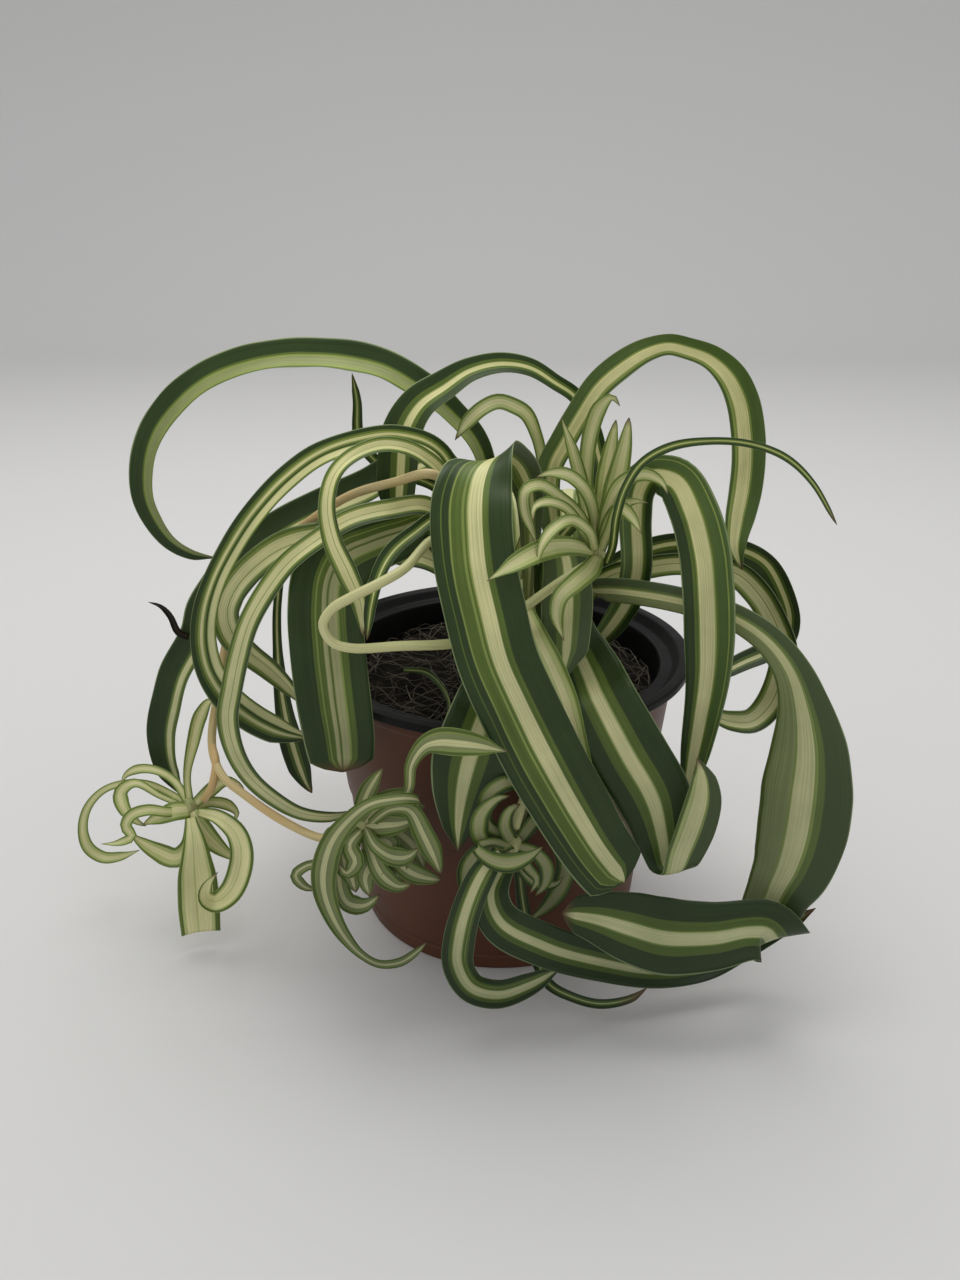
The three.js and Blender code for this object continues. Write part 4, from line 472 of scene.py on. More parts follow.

# How a leaf looks: its stripes, those of its underside where they differ, how deeply its channel
# folds, how much its edges wave, the length of its dried tip in millimetres, how many times its last
# width its point is drawn out, whether the viewer sees its underside, whether its end is cut off
# square, and whether its stripes run the other way round.
PLAIN_LOOK = dict(stripes="slim", back=None, fold=0.3, wave=0.5, dry=3, point=1, under=False, blunt=False,
                  mirrored=False)
YOUNG_LOOK = dict(PLAIN_LOOK, stripes="young", fold=0.3, wave=0.6, dry=1.5, point=2.5)
LOOKS = {
    # This plantlet and the next lie low, and their stripes take the painted shade towards the foot of the
    # plant.
    "plantlet_front": dict(YOUNG_LOOK, stripes="shaded"),
    "plantlet_front_left": dict(YOUNG_LOOK, stripes="tangled", wave=0.9, point=1),
    "leaf_arch_left": dict(stripes="arch", fold=0.5),
    "leaf_left_hoop": dict(stripes="streaked", fold=0.5),
    "leaf_pale_loop": dict(stripes="cream", fold=0.35),
    "leaf_left_broad": dict(stripes="lined", fold=0.22, point=0),
    "leaf_left_droop": dict(stripes="even", fold=0.3),
    "leaf_twisted_pale": dict(stripes="cream", fold=0.45),
    "leaf_slender_green": dict(stripes="green", fold=0.4),
    "leaf_left_cascade": dict(stripes="edge", fold=0.4),
    "leaf_left_low": dict(stripes="cream", fold=0.4),
    "leaf_middle_arch": dict(stripes="even", fold=0.45),
    "leaf_right_arch": dict(stripes="fern", fold=0.4, mirrored=True),
    "leaf_right_back": dict(stripes="even", fold=0.35),
    "leaf_right_hoop": dict(stripes="cream", fold=0.35),
    "leaf_right_tall": dict(stripes="tall", fold=0.3),
    "leaf_right_sweep": dict(stripes="even", back="sweep", fold=0.18, under=True, point=0),
    "leaf_front_broad": dict(stripes="broad", fold=0.2, point=0, dry=0),
    "leaf_front_right": dict(stripes="even", back="folded", fold=0.15),
    "leaf_front_short": dict(stripes="even", fold=0.2),
    "leaf_front_slip": dict(stripes="young", fold=0.3),
    "leaf_front_left": dict(stripes="even", fold=0.25),
    "leaf_top_curl": dict(stripes="young", fold=0.3),
    "leaf_spike": dict(stripes="green", fold=0.3),
    "dried_tip": dict(stripes="dried", fold=0.6, wave=0.8, dry=0, point=2),
    "soil_wisp": dict(stripes="green", fold=0.4, dry=4),
    "plantlet_left_strap": dict(stripes="pale", fold=0.15, blunt=True, dry=0),
    "plantlet_left_hook": dict(stripes="pale", fold=0.3, point=2.5),
    "plantlet_front_runner": dict(stripes="even", fold=0.3, dry=9),
    "plantlet_front_droop": dict(stripes="slim", fold=0.4),
    "plantlet_front_tail": dict(stripes="green", fold=0.3, dry=12),
    "plantlet_right_whip": dict(stripes="green", fold=0.25, dry=6),
}


# ---- Curves and strips ----
def place_of(point):
    column, row, depth = point[:3]
    ray = FORWARD + DOWN * (row - PICTURE_SIZE[1] / 2) / FOCAL_LENGTH
    ray = ray + np.array([(column - PICTURE_SIZE[0] / 2) / FOCAL_LENGTH, 0, 0])
    return EYE + ray * (depth - EYE[1]) / ray[1]


def unit(vector):
    return vector / np.linalg.norm(vector)


class SmoothCurve:
    """A centripetal Catmull-Rom curve through points, read by arc length."""

    FINE = 24  # samples between neighbouring points

    def __init__(self, points):
        points = np.array(points, float)
        before = 2 * points[0] - points[1]
        after = 2 * points[-1] - points[-2]
        padded = np.vstack([before, points, after])
        steps = np.linspace(0, 1, self.FINE + 1)[1:, None]
        spans = [self._span(*padded[i:i + 4], steps) for i in range(len(points) - 1)]
        self.samples = np.vstack([points[:1], *spans])
        gaps = np.linalg.norm(np.diff(self.samples, axis=0), axis=1)
        self.arc = np.concatenate([[0], np.cumsum(gaps)])
        self.length = self.arc[-1]
        self.knots = self.arc[::self.FINE]

    @staticmethod
    def _span(before, start, end, after, t):
        gaps = [math.sqrt(np.linalg.norm(q - p)) for p, q in ((before, start), (start, end), (end, after))]
        rise = end - start
        leave = (start - before) / gaps[0] - (end - before) / (gaps[0] + gaps[1]) + rise / gaps[1]
        arrive = rise / gaps[1] - (after - start) / (gaps[1] + gaps[2]) + (after - end) / gaps[2]
        leave, arrive = leave * gaps[1], arrive * gaps[1]
        return (start + leave * t + (3 * rise - 2 * leave - arrive) * t ** 2
                + (leave + arrive - 2 * rise) * t ** 3)

    def at(self, lengths):
        return np.stack([np.interp(lengths, self.arc, self.samples[:, k]) for k in range(3)], 1)

    def tangents(self, lengths):
        reach = self.length / 400
        step = self.at(np.minimum(lengths + reach, self.length)) - self.at(np.maximum(lengths - reach, 0))
        return step / np.linalg.norm(step, axis=1)[:, None]


def turned(vector, axis, angle):
    return (vector * math.cos(angle) + np.cross(axis, vector) * math.sin(angle)
            + axis * np.dot(axis, vector) * (1 - math.cos(angle)))


def eased(values, low, high):
    t = np.clip((values - low) / (high - low), 0, 1)
    return t * t * (3 - 2 * t)


def smoothed(values, times):
    for _ in range(times):
        padded = np.concatenate([values[:1], values, values[-1:]])
        values = (padded[:-2] + 2 * padded[1:-1] + padded[2:]) / 4
    return values


def wander(lengths, scale, seed):
    """A smooth random walk from -1 to 1 along a length."""
    source = np.random.default_rng(seed)
    knots = np.arange(-scale, lengths[-1] + 3 * scale, scale)
    return smoothed(np.interp(lengths, knots, source.uniform(-1, 1, len(knots))), 4)


def fold_of(curve, leaf):
    """How far along a strip's curve it is folded over on itself; its whole length where it isn't."""
    if "fold_point" not in leaf:
        return curve.length
    return curve.knots[leaf["fold_point"] + len(curve.knots) - len(leaf["route"])]


def strip_sides(curve, leaf, stations, first_side=None):
    """The direction of a strip's width at evenly spaced stations. It faces the viewer, turned about
    the curve by its roll, and keeps its turn where it runs along the line of sight. Past a fold its
    other face is seen. A strip with a first side turns from it to the viewer over its first part,
    and may come round with its back to the viewer: it is then given the other way round."""
    fold = fold_of(curve, leaf)
    lengths = np.linspace(0, curve.length, stations + 1)
    shares = lengths / curve.length
    turns = np.radians(np.interp(shares, np.linspace(0, 1, len(leaf["roll"])), leaf["roll"]))
    settled = eased(shares, 0, SETTLING) if first_side is not None else np.ones(stations + 1)
    sides = []
    side = first_side
    agreement = 0
    reversed_last = False
    for i, (centre, tangent) in enumerate(zip(curve.at(lengths), curve.tangents(lengths))):
        seen = np.cross(tangent, unit(centre - EYE))
        sureness = float(eased(np.linalg.norm(seen), UNSURE, SURE))
        facing = turned(unit(seen), tangent, turns[i])
        folded = lengths[i] > fold
        is_reversed = side is not None and np.dot(facing, side) < 0
        if not folded and sureness == 1:
            reversed_last = is_reversed
        turned_away = not reversed_last if folded else is_reversed
        if turned_away:
            facing = -facing
        if side is None:
            side = facing
        side = side + (facing - side) * settled[i] * sureness
        side = unit(side - tangent * np.dot(side, tangent))
        if not folded:
            agreement += np.dot(side, turned(unit(seen), tangent, turns[i])) * sureness
        sides.append(side)
    sides = np.array(sides)
    return lengths, sides if agreement >= 0 else -sides


# ---- Meshes ----
class Shape:
    """Vertices and faces gathered from several pieces that become one mesh."""

    def __init__(self):
        self.vertices, self.faces, self.uvs, self.slots = [], [], [], []
        self.values = {"dry": [], "base": []}
        self.count = 0

    def add(self, vertices, faces, uvs, slots=0, **values):
        self.vertices.append(np.asarray(vertices))
        self.faces += [tuple(self.count + k for k in face) for face in faces]
        self.uvs.append(np.asarray(uvs))
        self.slots += slots if isinstance(slots, list) else [slots] * len(faces)
        for key, gathered in self.values.items():
            gathered.append(np.broadcast_to(values.get(key, 0.0), len(vertices)))
        self.count += len(vertices)

    def build(self, name, materials):
        mesh = bpy.data.meshes.new(name)
        mesh.from_pydata((np.vstack(self.vertices) * MM).tolist(), [], self.faces)
        corners = np.zeros(len(mesh.loops), np.int32)
        mesh.loops.foreach_get("vertex_index", corners)
        layer = mesh.uv_layers.new(name="surface")
        layer.data.foreach_set("uv", np.vstack(self.uvs).astype(np.float32)[corners].ravel())
        for key, gathered in self.values.items():
            attribute = mesh.attributes.new(key, "FLOAT", "POINT")
            attribute.data.foreach_set("value", np.concatenate(gathered).astype(np.float32))
        for material in materials:
            mesh.materials.append(material)
        mesh.polygons.foreach_set("material_index", np.asarray(self.slots, np.int32))
        mesh.shade_smooth()
        piece = bpy.data.objects.new(name, mesh)
        bpy.context.scene.collection.objects.link(piece)
        return piece


def ring_faces(rings, size):
    """Quads between closed rings of vertices, each of the same size."""
    faces = []
    for low in range(0, (rings - 1) * size, size):
        for j in range(size):
            k = (j + 1) % size
            faces.append((low + j, low + k, low + size + k, low + size + j))
    return faces


def hand_in(piece, slot, *nodes):
    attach(piece, BODY)
    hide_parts(*nodes)


def blade_axes(curve, spots, sides):
    """The directions of a blade's width and thickness at spots along its curve."""
    stations, coarse = sides
    rounds = SIDE_ROUNDS if len(stations) <= FOLDED_STATIONS else FOLDED_SIDE_ROUNDS
    side = np.stack([smoothed(np.interp(spots, stations, coarse[:, k]), rounds) for k in range(3)], 1)
    tangents = curve.tangents(spots)
    side -= tangents * np.sum(side * tangents, 1)[:, None]
    side /= np.linalg.norm(side, axis=1)[:, None]
    return side, np.cross(tangents, side)


def blade_widths(curve, spots, widths, look):
    """A blade's width at spots along its curve, drawn out to a point unless its end is cut off."""
    width = smoothed(np.interp(spots, curve.knots, widths), WIDTH_ROUNDS)
    if look["blunt"]:
        return width
    tip = np.clip((curve.length - spots) / (TIP_LENGTH + look["point"] * width[-1]), 0, 1)
    return width * (TIP_SHARE + (1 - TIP_SHARE) * tip ** TIP_POWER)


def blade_faces(rows, under):
    """A blade's skin and its two ends, and the material number of each: 0 on its top, 1 beneath."""
    size = 2 * BLADE_COLUMNS
    last = rows * size
    seen = 1 if under else 0
    faces = ring_faces(rows + 1, size)
    slots = ([seen] * (BLADE_COLUMNS - 1) + [1 - seen] * (BLADE_COLUMNS + 1)) * rows
    for j in range(BLADE_COLUMNS - 1):
        faces.append((size - 1 - j, size - 2 - j, j + 1, j))
        faces.append((last + j, last + j + 1, last + size - 2 - j, last + size - 1 - j))
        slots += [seen, seen]
    return faces, slots


def add_blade(shape, curve, widths, sides, look, seed, rooted):
    """A leaf: a channelled, slightly waved blade with fine closed edges."""
    rows = max(LEAST_ROWS, int(curve.length / ROW_LENGTH))
    spots = np.linspace(0, curve.length, rows + 1)
    centres, (side, through) = curve.at(spots), blade_axes(curve, spots, sides)
    width = blade_widths(curve, spots, widths, look)
    channel = look["fold"] * eased(spots, 0, CHANNEL_OPENS) * width * 0.5
    waves = {1: wander(spots, WAVE_LENGTH, seed), -1: wander(spots, WAVE_LENGTH, seed + 1)}
    lean = -1 if look["under"] else 1
    dried = eased(spots, curve.length - look["dry"] - 1, curve.length) if look["dry"] else 0 * spots
    base = 1 - eased(spots, *BASE_FADE) if rooted else 0 * spots
    across = np.linspace(0, 1, BLADE_COLUMNS)
    positions, uvs = [], []
    for u, face in [(u, 1) for u in across[::-1]] + [(u, -1) for u in across]:
        offset = u - 0.5
        reach = abs(2 * offset)
        ripple = look["wave"] * reach ** 3 * waves[1 if offset > 0 else -1] * np.minimum(1, width / 10)
        half_thickness = EDGE_HALF_THICKNESS + RIB_HALF_THICKNESS * (1 - reach ** 2)
        raised = channel * (reach ** CHANNEL_POWER - CHANNEL_LEVEL) + ripple
        height = lean * raised + face * half_thickness
        positions.append(centres + side * (offset * width)[:, None] + through * height[:, None])
        shown = 1 - u if look["mirrored"] else u
        uvs.append(np.stack([np.full(rows + 1, shown), pattern_place(spots, seed)], 1))
    size = len(positions)
    faces, slots = blade_faces(rows, look["under"])
    shape.add(np.stack(positions, 1).reshape(-1, 3), faces, np.stack(uvs, 1).reshape(-1, 2), slots,
              dry=np.repeat(dried, size), base=np.repeat(base, size))


def pattern_place(spots, seed):
    """Where lengths fall in a material's pattern: centimetres, with its own start for each seed."""
    return spots / 10 + seed % PATTERN_STARTS


def add_tube(shape, curve, radius_at, seed, sides=STEM_SIDES, row_length=STEM_ROW_LENGTH):
    """A closed stem along a curve; radius_at gives its radius at each length."""
    rows = max(4, int(curve.length / row_length))
    spots = np.linspace(0, curve.length, rows + 1)
    centres, tangents = curve.at(spots), curve.tangents(spots)
    side = unit(np.cross(tangents[0], (0.13, 0.31, 0.94)))
    radius = radius_at(spots)
    angles = np.linspace(0, 2 * math.pi, sides, endpoint=False)
    along = pattern_place(spots, seed)
    rings, uvs = [], []
    for i in range(rows + 1):
        side = unit(side - tangents[i] * np.dot(side, tangents[i]))
        up = np.cross(tangents[i], side)
        around = np.outer(np.cos(angles), side) + np.outer(np.sin(angles), up)
        rings.append(centres[i] + radius[i] * around)
        uvs.append(np.stack([angles / (2 * math.pi), np.full(sides, along[i])], 1))
    faces = ring_faces(rows + 1, sides)
    faces.append(tuple(range(sides))[::-1])
    faces.append(tuple(rows * sides + j for j in range(sides)))
    shape.add(np.vstack(rings), faces, np.vstack(uvs))


def add_turned(shape, profile, centre=(0, 0, 0), segments=POT_SEGMENTS, slot=0, displace=None):
    """A body turned about the vertical through centre, from a closed profile of (radius, height)."""
    profile = np.array(profile, float)
    angles = np.linspace(0, 2 * math.pi, segments, endpoint=False)
    rings, uvs = [], []
    travelled = 0
    for i, (radius, height) in enumerate(profile):
        if i:
            travelled += np.linalg.norm(profile[i] - profile[i - 1])
        radii = np.full(segments, max(radius, AXIS_RADIUS))
        heights = np.full(segments, height)
        if displace:
            radii, heights = displace(radii, heights, angles)
        rings.append(np.stack([radii * np.cos(angles), radii * np.sin(angles), heights], 1) + centre)
        uvs.append(np.stack([angles / (2 * math.pi), np.full(segments, travelled / 100)], 1))
    faces = ring_faces(len(profile), segments)
    faces.append(tuple(range(segments))[::-1])
    faces.append(tuple((len(profile) - 1) * segments + j for j in range(segments)))
    shape.add(np.vstack(rings), faces, np.vstack(uvs), slot)


def rounded(profile, radius):
    """A profile with its inner corners rounded off by arcs of about the given radius."""
    profile = [np.array(point, float) for point in profile]
    smooth = [profile[0]]
    for before, corner, after in zip(profile, profile[1:], profile[2:]):
        cut = min(radius, np.linalg.norm(corner - before) / 2.2, np.linalg.norm(after - corner) / 2.2)
        start = corner + unit(before - corner) * cut
        end = corner + unit(after - corner) * cut
        for t in np.linspace(0, 1, CORNER_POINTS):
            smooth.append((1 - t) ** 2 * start + 2 * t * (1 - t) * corner + t ** 2 * end)
    return smooth + [profile[-1]]


def refined(profile, longest):
    """A profile with points added so that no step is longer than longest."""
    points = [np.array(profile[0], float)]
    for point in profile[1:]:
        point = np.array(point, float)
        parts = max(1, math.ceil(np.linalg.norm(point - points[-1]) / longest))
        start = points[-1]
        points += [start + (point - start) * k / parts for k in range(1, parts + 1)]
    return points


# ---- Materials ----
class Graph:
    """A material's node graph, written as nested calls."""

    def __init__(self, name):
        self.material = bpy.data.materials.new(name)
        self.material.use_nodes = True
        self.tree = self.material.node_tree
        self.shader = self.tree.nodes["Principled BSDF"]

    def node(self, kind, inputs, output=0, **settings):
        made = self.tree.nodes.new(kind)
        for key, value in settings.items():
            setattr(made, key, value)
        for key, value in inputs.items():
            self.feed(made.inputs[key], value)
        return made.outputs[output]

    def feed(self, socket, value):
        if isinstance(value, bpy.types.NodeSocket):
            self.tree.links.new(value, socket)
        elif socket.type == "RGBA" and len(value) == 3:
            socket.default_value = (*value, 1)
        else:
            socket.default_value = value

    def math(self, operation, first, second):
        return self.node("ShaderNodeMath", {0: first, 1: second}, operation=operation)

    def mix(self, share, under, over, blend="MIX"):
        return self.node("ShaderNodeMix", {0: share, 6: under, 7: over}, 2, data_type="RGBA",
                         blend_type=blend)

    def tinted(self, colour, value, low, high):
        """A colour multiplied by tints that run from low to high with a noise's value."""
        return self.mix(1.0, colour, self.ramp(value, [(0.3, low), (0.7, high)]), "MULTIPLY")

    def flecked(self, colour, value, low, high, share, fleck):
        """A colour with flecks of another where a noise's value runs from low to high."""
        return self.mix(self.spread(value, low, high, 0, share), colour, fleck)

    def spread(self, value, low, high, to_low, to_high):
        return self.node("ShaderNodeMapRange", {0: value, 1: low, 2: high, 3: to_low, 4: to_high})

    def noise(self, at, scale, detail=2.0, roughness=0.5):
        return self.node("ShaderNodeTexNoise",
                         {"Vector": at, "Scale": scale, "Detail": detail, "Roughness": roughness})

    def stretched(self, x, y, x_scale, y_scale):
        return self.node("ShaderNodeCombineXYZ", {0: self.math("MULTIPLY", x, x_scale),
                                                  1: self.math("MULTIPLY", y, y_scale)})

    def ramp(self, value, stops):
        made = self.tree.nodes.new("ShaderNodeValToRGB")
        elements = made.color_ramp.elements
        for i, (place, colour) in enumerate(stops):
            element = elements[i] if i < 2 else elements.new(place)
            element.position = place
            element.color = (*colour, 1)
        self.feed(made.inputs[0], value)
        return made.outputs[0]

    def surface_uv(self):
        uv = self.node("ShaderNodeUVMap", {}, uv_map="surface")
        made = self.tree.nodes.new("ShaderNodeSeparateXYZ")
        self.feed(made.inputs[0], uv)
        return made.outputs[0], made.outputs[1]

    def object_place(self):
        return self.node("ShaderNodeTexCoord", {}, 3)

    def height(self):
        made = self.tree.nodes.new("ShaderNodeSeparateXYZ")
        self.feed(made.inputs[0], self.object_place())
        return made.outputs[2]

    def attribute(self, name):
        return self.node("ShaderNodeAttribute", {}, 2, attribute_name=name)

    def finish(self, colour, roughness, bump=None, strength=0.3, distance=0.0002, **uniform):
        self.feed(self.shader.inputs["Base Color"], colour)
        self.feed(self.shader.inputs["Roughness"], roughness)
        for key, value in uniform.items():
            self.shader.inputs[key.replace("_", " ")].default_value = value
        if bump is not None:
            normal = self.node("ShaderNodeBump",
                               {"Strength": strength, "Distance": distance, "Height": bump})
            self.feed(self.shader.inputs["Normal"], normal)
        return self.material


def stripe_stops(stripes):
    """A ramp's stops for stripes, with a short blend from each into the next."""
    starts = [start for start, _ in stripes] + [1]
    stops = []
    for i, (start, colour) in enumerate(stripes):
        soft = min(STRIPE_BLEND, (starts[i + 1] - start) / 3)
        stops += [(start + (soft if i else 0), colour), (starts[i + 1] - soft, colour)]
    return stops


@functools.cache
def leaf_material(kind, underside):
    graph = Graph(f"leaf_{kind}_{'under' if underside else 'top'}")
    across, along = graph.surface_uv()
    drift = graph.noise(graph.stretched(across, along, 1.5, 0.22), 1)
    place = graph.math("ADD", across, graph.math("MULTIPLY", graph.math("SUBTRACT", drift, 0.5), 0.07))
    colour = graph.ramp(place, stripe_stops(STRIPES[kind]))
    streaks = graph.noise(graph.stretched(place, along, 55, 0.12), 1, 3, 0.6)
    colour = graph.tinted(colour, streaks, (0.72, 0.76, 0.68), (1.22, 1.18, 1.15))
    patches = graph.noise(graph.stretched(across, along, 1.2, 0.5), 1, 3)
    colour = graph.tinted(colour, patches, (0.84, 0.86, 0.82), (1.12, 1.1, 1.1))
    if underside:
        colour = graph.mix(0.14, colour, UNDERSIDE)
    # Painted light and shade: leaf colour is darkened towards the foot of the plant, where the leaves lie
    # in shade, and brightened higher up, where they catch the light.
    if kind not in KINDS_WITHOUT_PAINTED_LIGHT:
        painted_height_light = graph.ramp(graph.spread(graph.height(), 0.02, 0.2, 0, 1),
                          [(0, (0.56, 0.60, 0.62)), (0.55, (0.93, 0.94, 0.93)), (1, (1.3, 1.28, 1.18))])
        colour = graph.mix(1.0, colour, painted_height_light, "MULTIPLY")
    colour = graph.mix(graph.math("MULTIPLY", graph.attribute("base"), 0.55), colour, BASE_PALE)
    colour = graph.mix(graph.attribute("dry"), colour, DRIED)
    ribs = graph.noise(graph.stretched(across, along, 42, 0.3), 1, 2)
    roughness = graph.spread(streaks, 0.2, 0.8, 0.36, 0.52)
    return graph.finish(colour, roughness, ribs, 0.35, 0.00025, Specular_IOR_Level=0.32)


def leaf_materials(look):
    """The materials of a leaf's top and underside; leaves with the same stripes share them."""
    return [leaf_material(look["stripes"], False), leaf_material(look["back"] or look["stripes"], True)]


def stolon_material(name, young, ripe):
    graph = Graph(name)
    around, along = graph.surface_uv()
    long_change = graph.noise(graph.stretched(around, along, 0.5, 0.12), 1)
    colour = graph.ramp(long_change, [(0.35, young), (0.65, ripe)])
    lines = graph.noise(graph.stretched(around, along, 26, 0.3), 1, 3)
    colour = graph.tinted(colour, lines, (0.82, 0.82, 0.78), (1.12, 1.12, 1.1))
    return graph.finish(colour, graph.spread(lines, 0.2, 0.8, 0.38, 0.55), lines, 0.3, 0.00015)


def heart_material(name, low, high):
    graph = Graph(name)
    around, along = graph.surface_uv()
    lines = graph.noise(graph.stretched(around, along, 40, 1.5), 1, 3)
    patches = graph.noise(graph.object_place(), 160, 3)
    colour = graph.ramp(patches, [(0.3, low), (0.7, high)])
    colour = graph.tinted(colour, lines, (0.7, 0.7, 0.62), (1.15, 1.15, 1.1))
    return graph.finish(colour, 0.5, lines, 0.4, 0.0003)


def cover_pot_material():
    graph = Graph("terracotta_plastic")
    place = graph.object_place()
    around, along = graph.surface_uv()
    clouds = graph.noise(place, 22, 5, 0.6)
    # The terracotta's own colour, darkened as painted shade for the shadow the pot lies in.
    colour = graph.ramp(clouds, [(0.3, (0.076, 0.026, 0.012)), (0.5, (0.098, 0.034, 0.015)),
                                 (0.75, (0.118, 0.045, 0.022))])
    scuffs = graph.noise(graph.stretched(around, along, 30, 420), 1, 4, 0.7)
    colour = graph.flecked(colour, scuffs, 0.62, 0.8, 0.35, (0.30, 0.16, 0.115))
    specks = graph.noise(place, 900, 2)
    colour = graph.flecked(colour, specks, 0.68, 0.76, 0.8, (0.05, 0.03, 0.02))
    roughness = graph.spread(clouds, 0.3, 0.7, 0.42, 0.58)
    return graph.finish(colour, roughness, graph.noise(place, 700, 3), 0.25, 0.0001,
                        Specular_IOR_Level=0.3)


def nursery_pot_material():
    graph = Graph("black_plastic")
    place = graph.object_place()
    clouds = graph.noise(place, 45, 4, 0.6)
    colour = graph.ramp(clouds, [(0.35, (0.0025, 0.0025, 0.0025)), (0.7, (0.006, 0.006, 0.0055))])
    dust = graph.noise(place, 500, 5, 0.7)
    colour = graph.flecked(colour, dust, 0.62, 0.82, 0.2, (0.03, 0.026, 0.02))
    roughness = graph.spread(clouds, 0.3, 0.7, 0.35, 0.55)
    return graph.finish(colour, roughness, graph.noise(place, 900, 3), 0.2, 0.0001,
                        Specular_IOR_Level=0.14)


def soil_material():
    graph = Graph("soil")
    place = graph.object_place()
    clumps = graph.noise(place, 150, 6, 0.65)
    colour = graph.ramp(clumps, [(0.3, (0.003, 0.002, 0.0015)), (0.5, (0.007, 0.005, 0.003)),
                                 (0.68, (0.018, 0.012, 0.008))])
    grains = graph.noise(place, 900, 3, 0.7)
    colour = graph.flecked(colour, grains, 0.66, 0.78, 0.7, (0.07, 0.05, 0.033))
    return graph.finish(colour, 0.95, grains, 0.8, 0.0008, Specular_IOR_Level=0.15)


def fibre_material():
    graph = Graph("fibre")
    around, along = graph.surface_uv()
    tone = graph.noise(graph.stretched(around, along, 2, 1.1), 1, 3)
    colour = graph.ramp(tone, [(0.3, (0.03, 0.024, 0.016)), (0.55, (0.10, 0.085, 0.06)),
                               (0.75, (0.24, 0.21, 0.15))])
    return graph.finish(colour, 0.8)


# ---- Pots, soil and crown ----
def build_cover_pot():
    pot = COVER_POT
    base, rim, top, floor = pot["base_radius"], pot["rim_radius"], pot["height"], pot["floor"]

    def radius_at(height):
        return base + (rim - base) / top * height

    hollow, inner_foot = FOOT["hollow"], base - FOOT["width"]
    profile = [(0, hollow), (inner_foot - FOOT["bevel"], hollow), (inner_foot, 0), (base, 0)]
    low, high = GROOVE["low"], GROOVE["high"]
    for height, depth in ((low, 0), (low + GROOVE["bevel"], GROOVE["depth"]),
                          (high - GROOVE["bevel"], GROOVE["depth"]), (high, 0)):
        profile.append((radius_at(height) - depth, height))
    collar, (below, above) = pot["collar_height"], COLLAR_RAMP
    profile += [(radius_at(collar) - pot["collar_step"], collar - below),
                (radius_at(collar), collar + above)]
    lip_foot, bulged = top - LIP["height"], rim + LIP["bulge"]
    profile += [(radius_at(lip_foot - LIP["ramp"]), lip_foot - LIP["ramp"]), (bulged, lip_foot),
                (bulged, top), (rim - pot["wall"], top),
                (radius_at(floor) - pot["wall"], floor), (0, floor)]
    shape = Shape()
    add_turned(shape, refined(rounded(profile, EDGE_RADIUS["cover_pot"]), LONGEST_STEP))
    hand_in(shape.build("cover_pot_body", [cover_pot_material()]), "cover_pot", "cover_pot")


def build_nursery_pot():
    pot = NURSERY_POT
    base = COVER_POT["floor"] + GAP
    shoulder = COVER_POT["height"] + GAP
    rim, flange, wall, top = pot["rim_radius"], pot["flange_radius"], pot["wall"], pot["top"]
    lip = top - pot["rim_height"]
    outset, bevel = flange + RIM_BEVEL["outset"], RIM_BEVEL["size"]
    profile = [(0, base), (pot["base_radius"], base), (pot["shoulder_radius"], shoulder),
               (flange, shoulder), (flange, lip), (rim, lip), (rim, top), (outset, top),
               (outset - bevel, top - bevel), (flange - 2 * wall, shoulder + wall),
               (pot["shoulder_radius"] - wall, shoulder + wall),
               (pot["base_radius"] - wall, base + wall), (0, base + wall)]
    shape = Shape()
    add_turned(shape, refined(rounded(profile, EDGE_RADIUS["nursery_pot"]), LONGEST_STEP))
    hand_in(shape.build("nursery_pot_body", [nursery_pot_material()]), "nursery_pot", "nursery_pot")


def soil_height(x, y):
    """Lumps of the soil's surface, as a sum of plane waves that get finer and lower."""
    height = 0 * x
    for k, (east, north, shift, gain) in enumerate(SOIL_WAVES):
        pitch = LUMP_PITCH * LUMP_STEP ** k
        wave = np.sin((east * x + north * y) * pitch * 2 + 6 * shift)
        height = height + wave * (1.4 + 0.5 * gain) / (1 + k) * LUMP_HEIGHT
    return height


def soil_level(radii):
    """How level the soil is at a radius: 0 at its edge, where it has slumped, and 1 further in."""
    return eased(SOIL["edge_radius"] - radii, 0, SLUMP_WIDTH)


def build_soil_body(source):
    base = COVER_POT["floor"] + NURSERY_POT["wall"] + 2 * GAP
    edge = SOIL["edge_radius"]
    profile = [(0, base), (SOIL["base_radius"], base), (edge, SOIL["top"] - SOIL["slump"] - GRAIN_HEIGHT)]
    profile += [(r, SOIL["top"]) for r in np.linspace(edge - GRAIN_HEIGHT, 0, SOIL_RINGS)]

    def lumpy(radii, heights, angles):
        if heights[0] < SOIL["top"]:
            return radii, heights
        level = soil_level(radii)
        lumps = soil_height(radii * np.cos(angles), radii * np.sin(angles))
        lumps = lumps * (EDGE_LUMPS + (1 - EDGE_LUMPS) * level)
        grains = source.uniform(-GRAIN_HEIGHT, GRAIN_HEIGHT, len(radii)) * min(1, radii[0] / CALM_RADIUS)
        return radii, heights + lumps + grains - SOIL["slump"] * (1 - level) - SOIL_SINK

    shape = Shape()
    add_turned(shape, profile, segments=SOIL_SEGMENTS, displace=lumpy)
    hand_in(shape.build("soil_body", [soil_material()]), "soil", "soil")


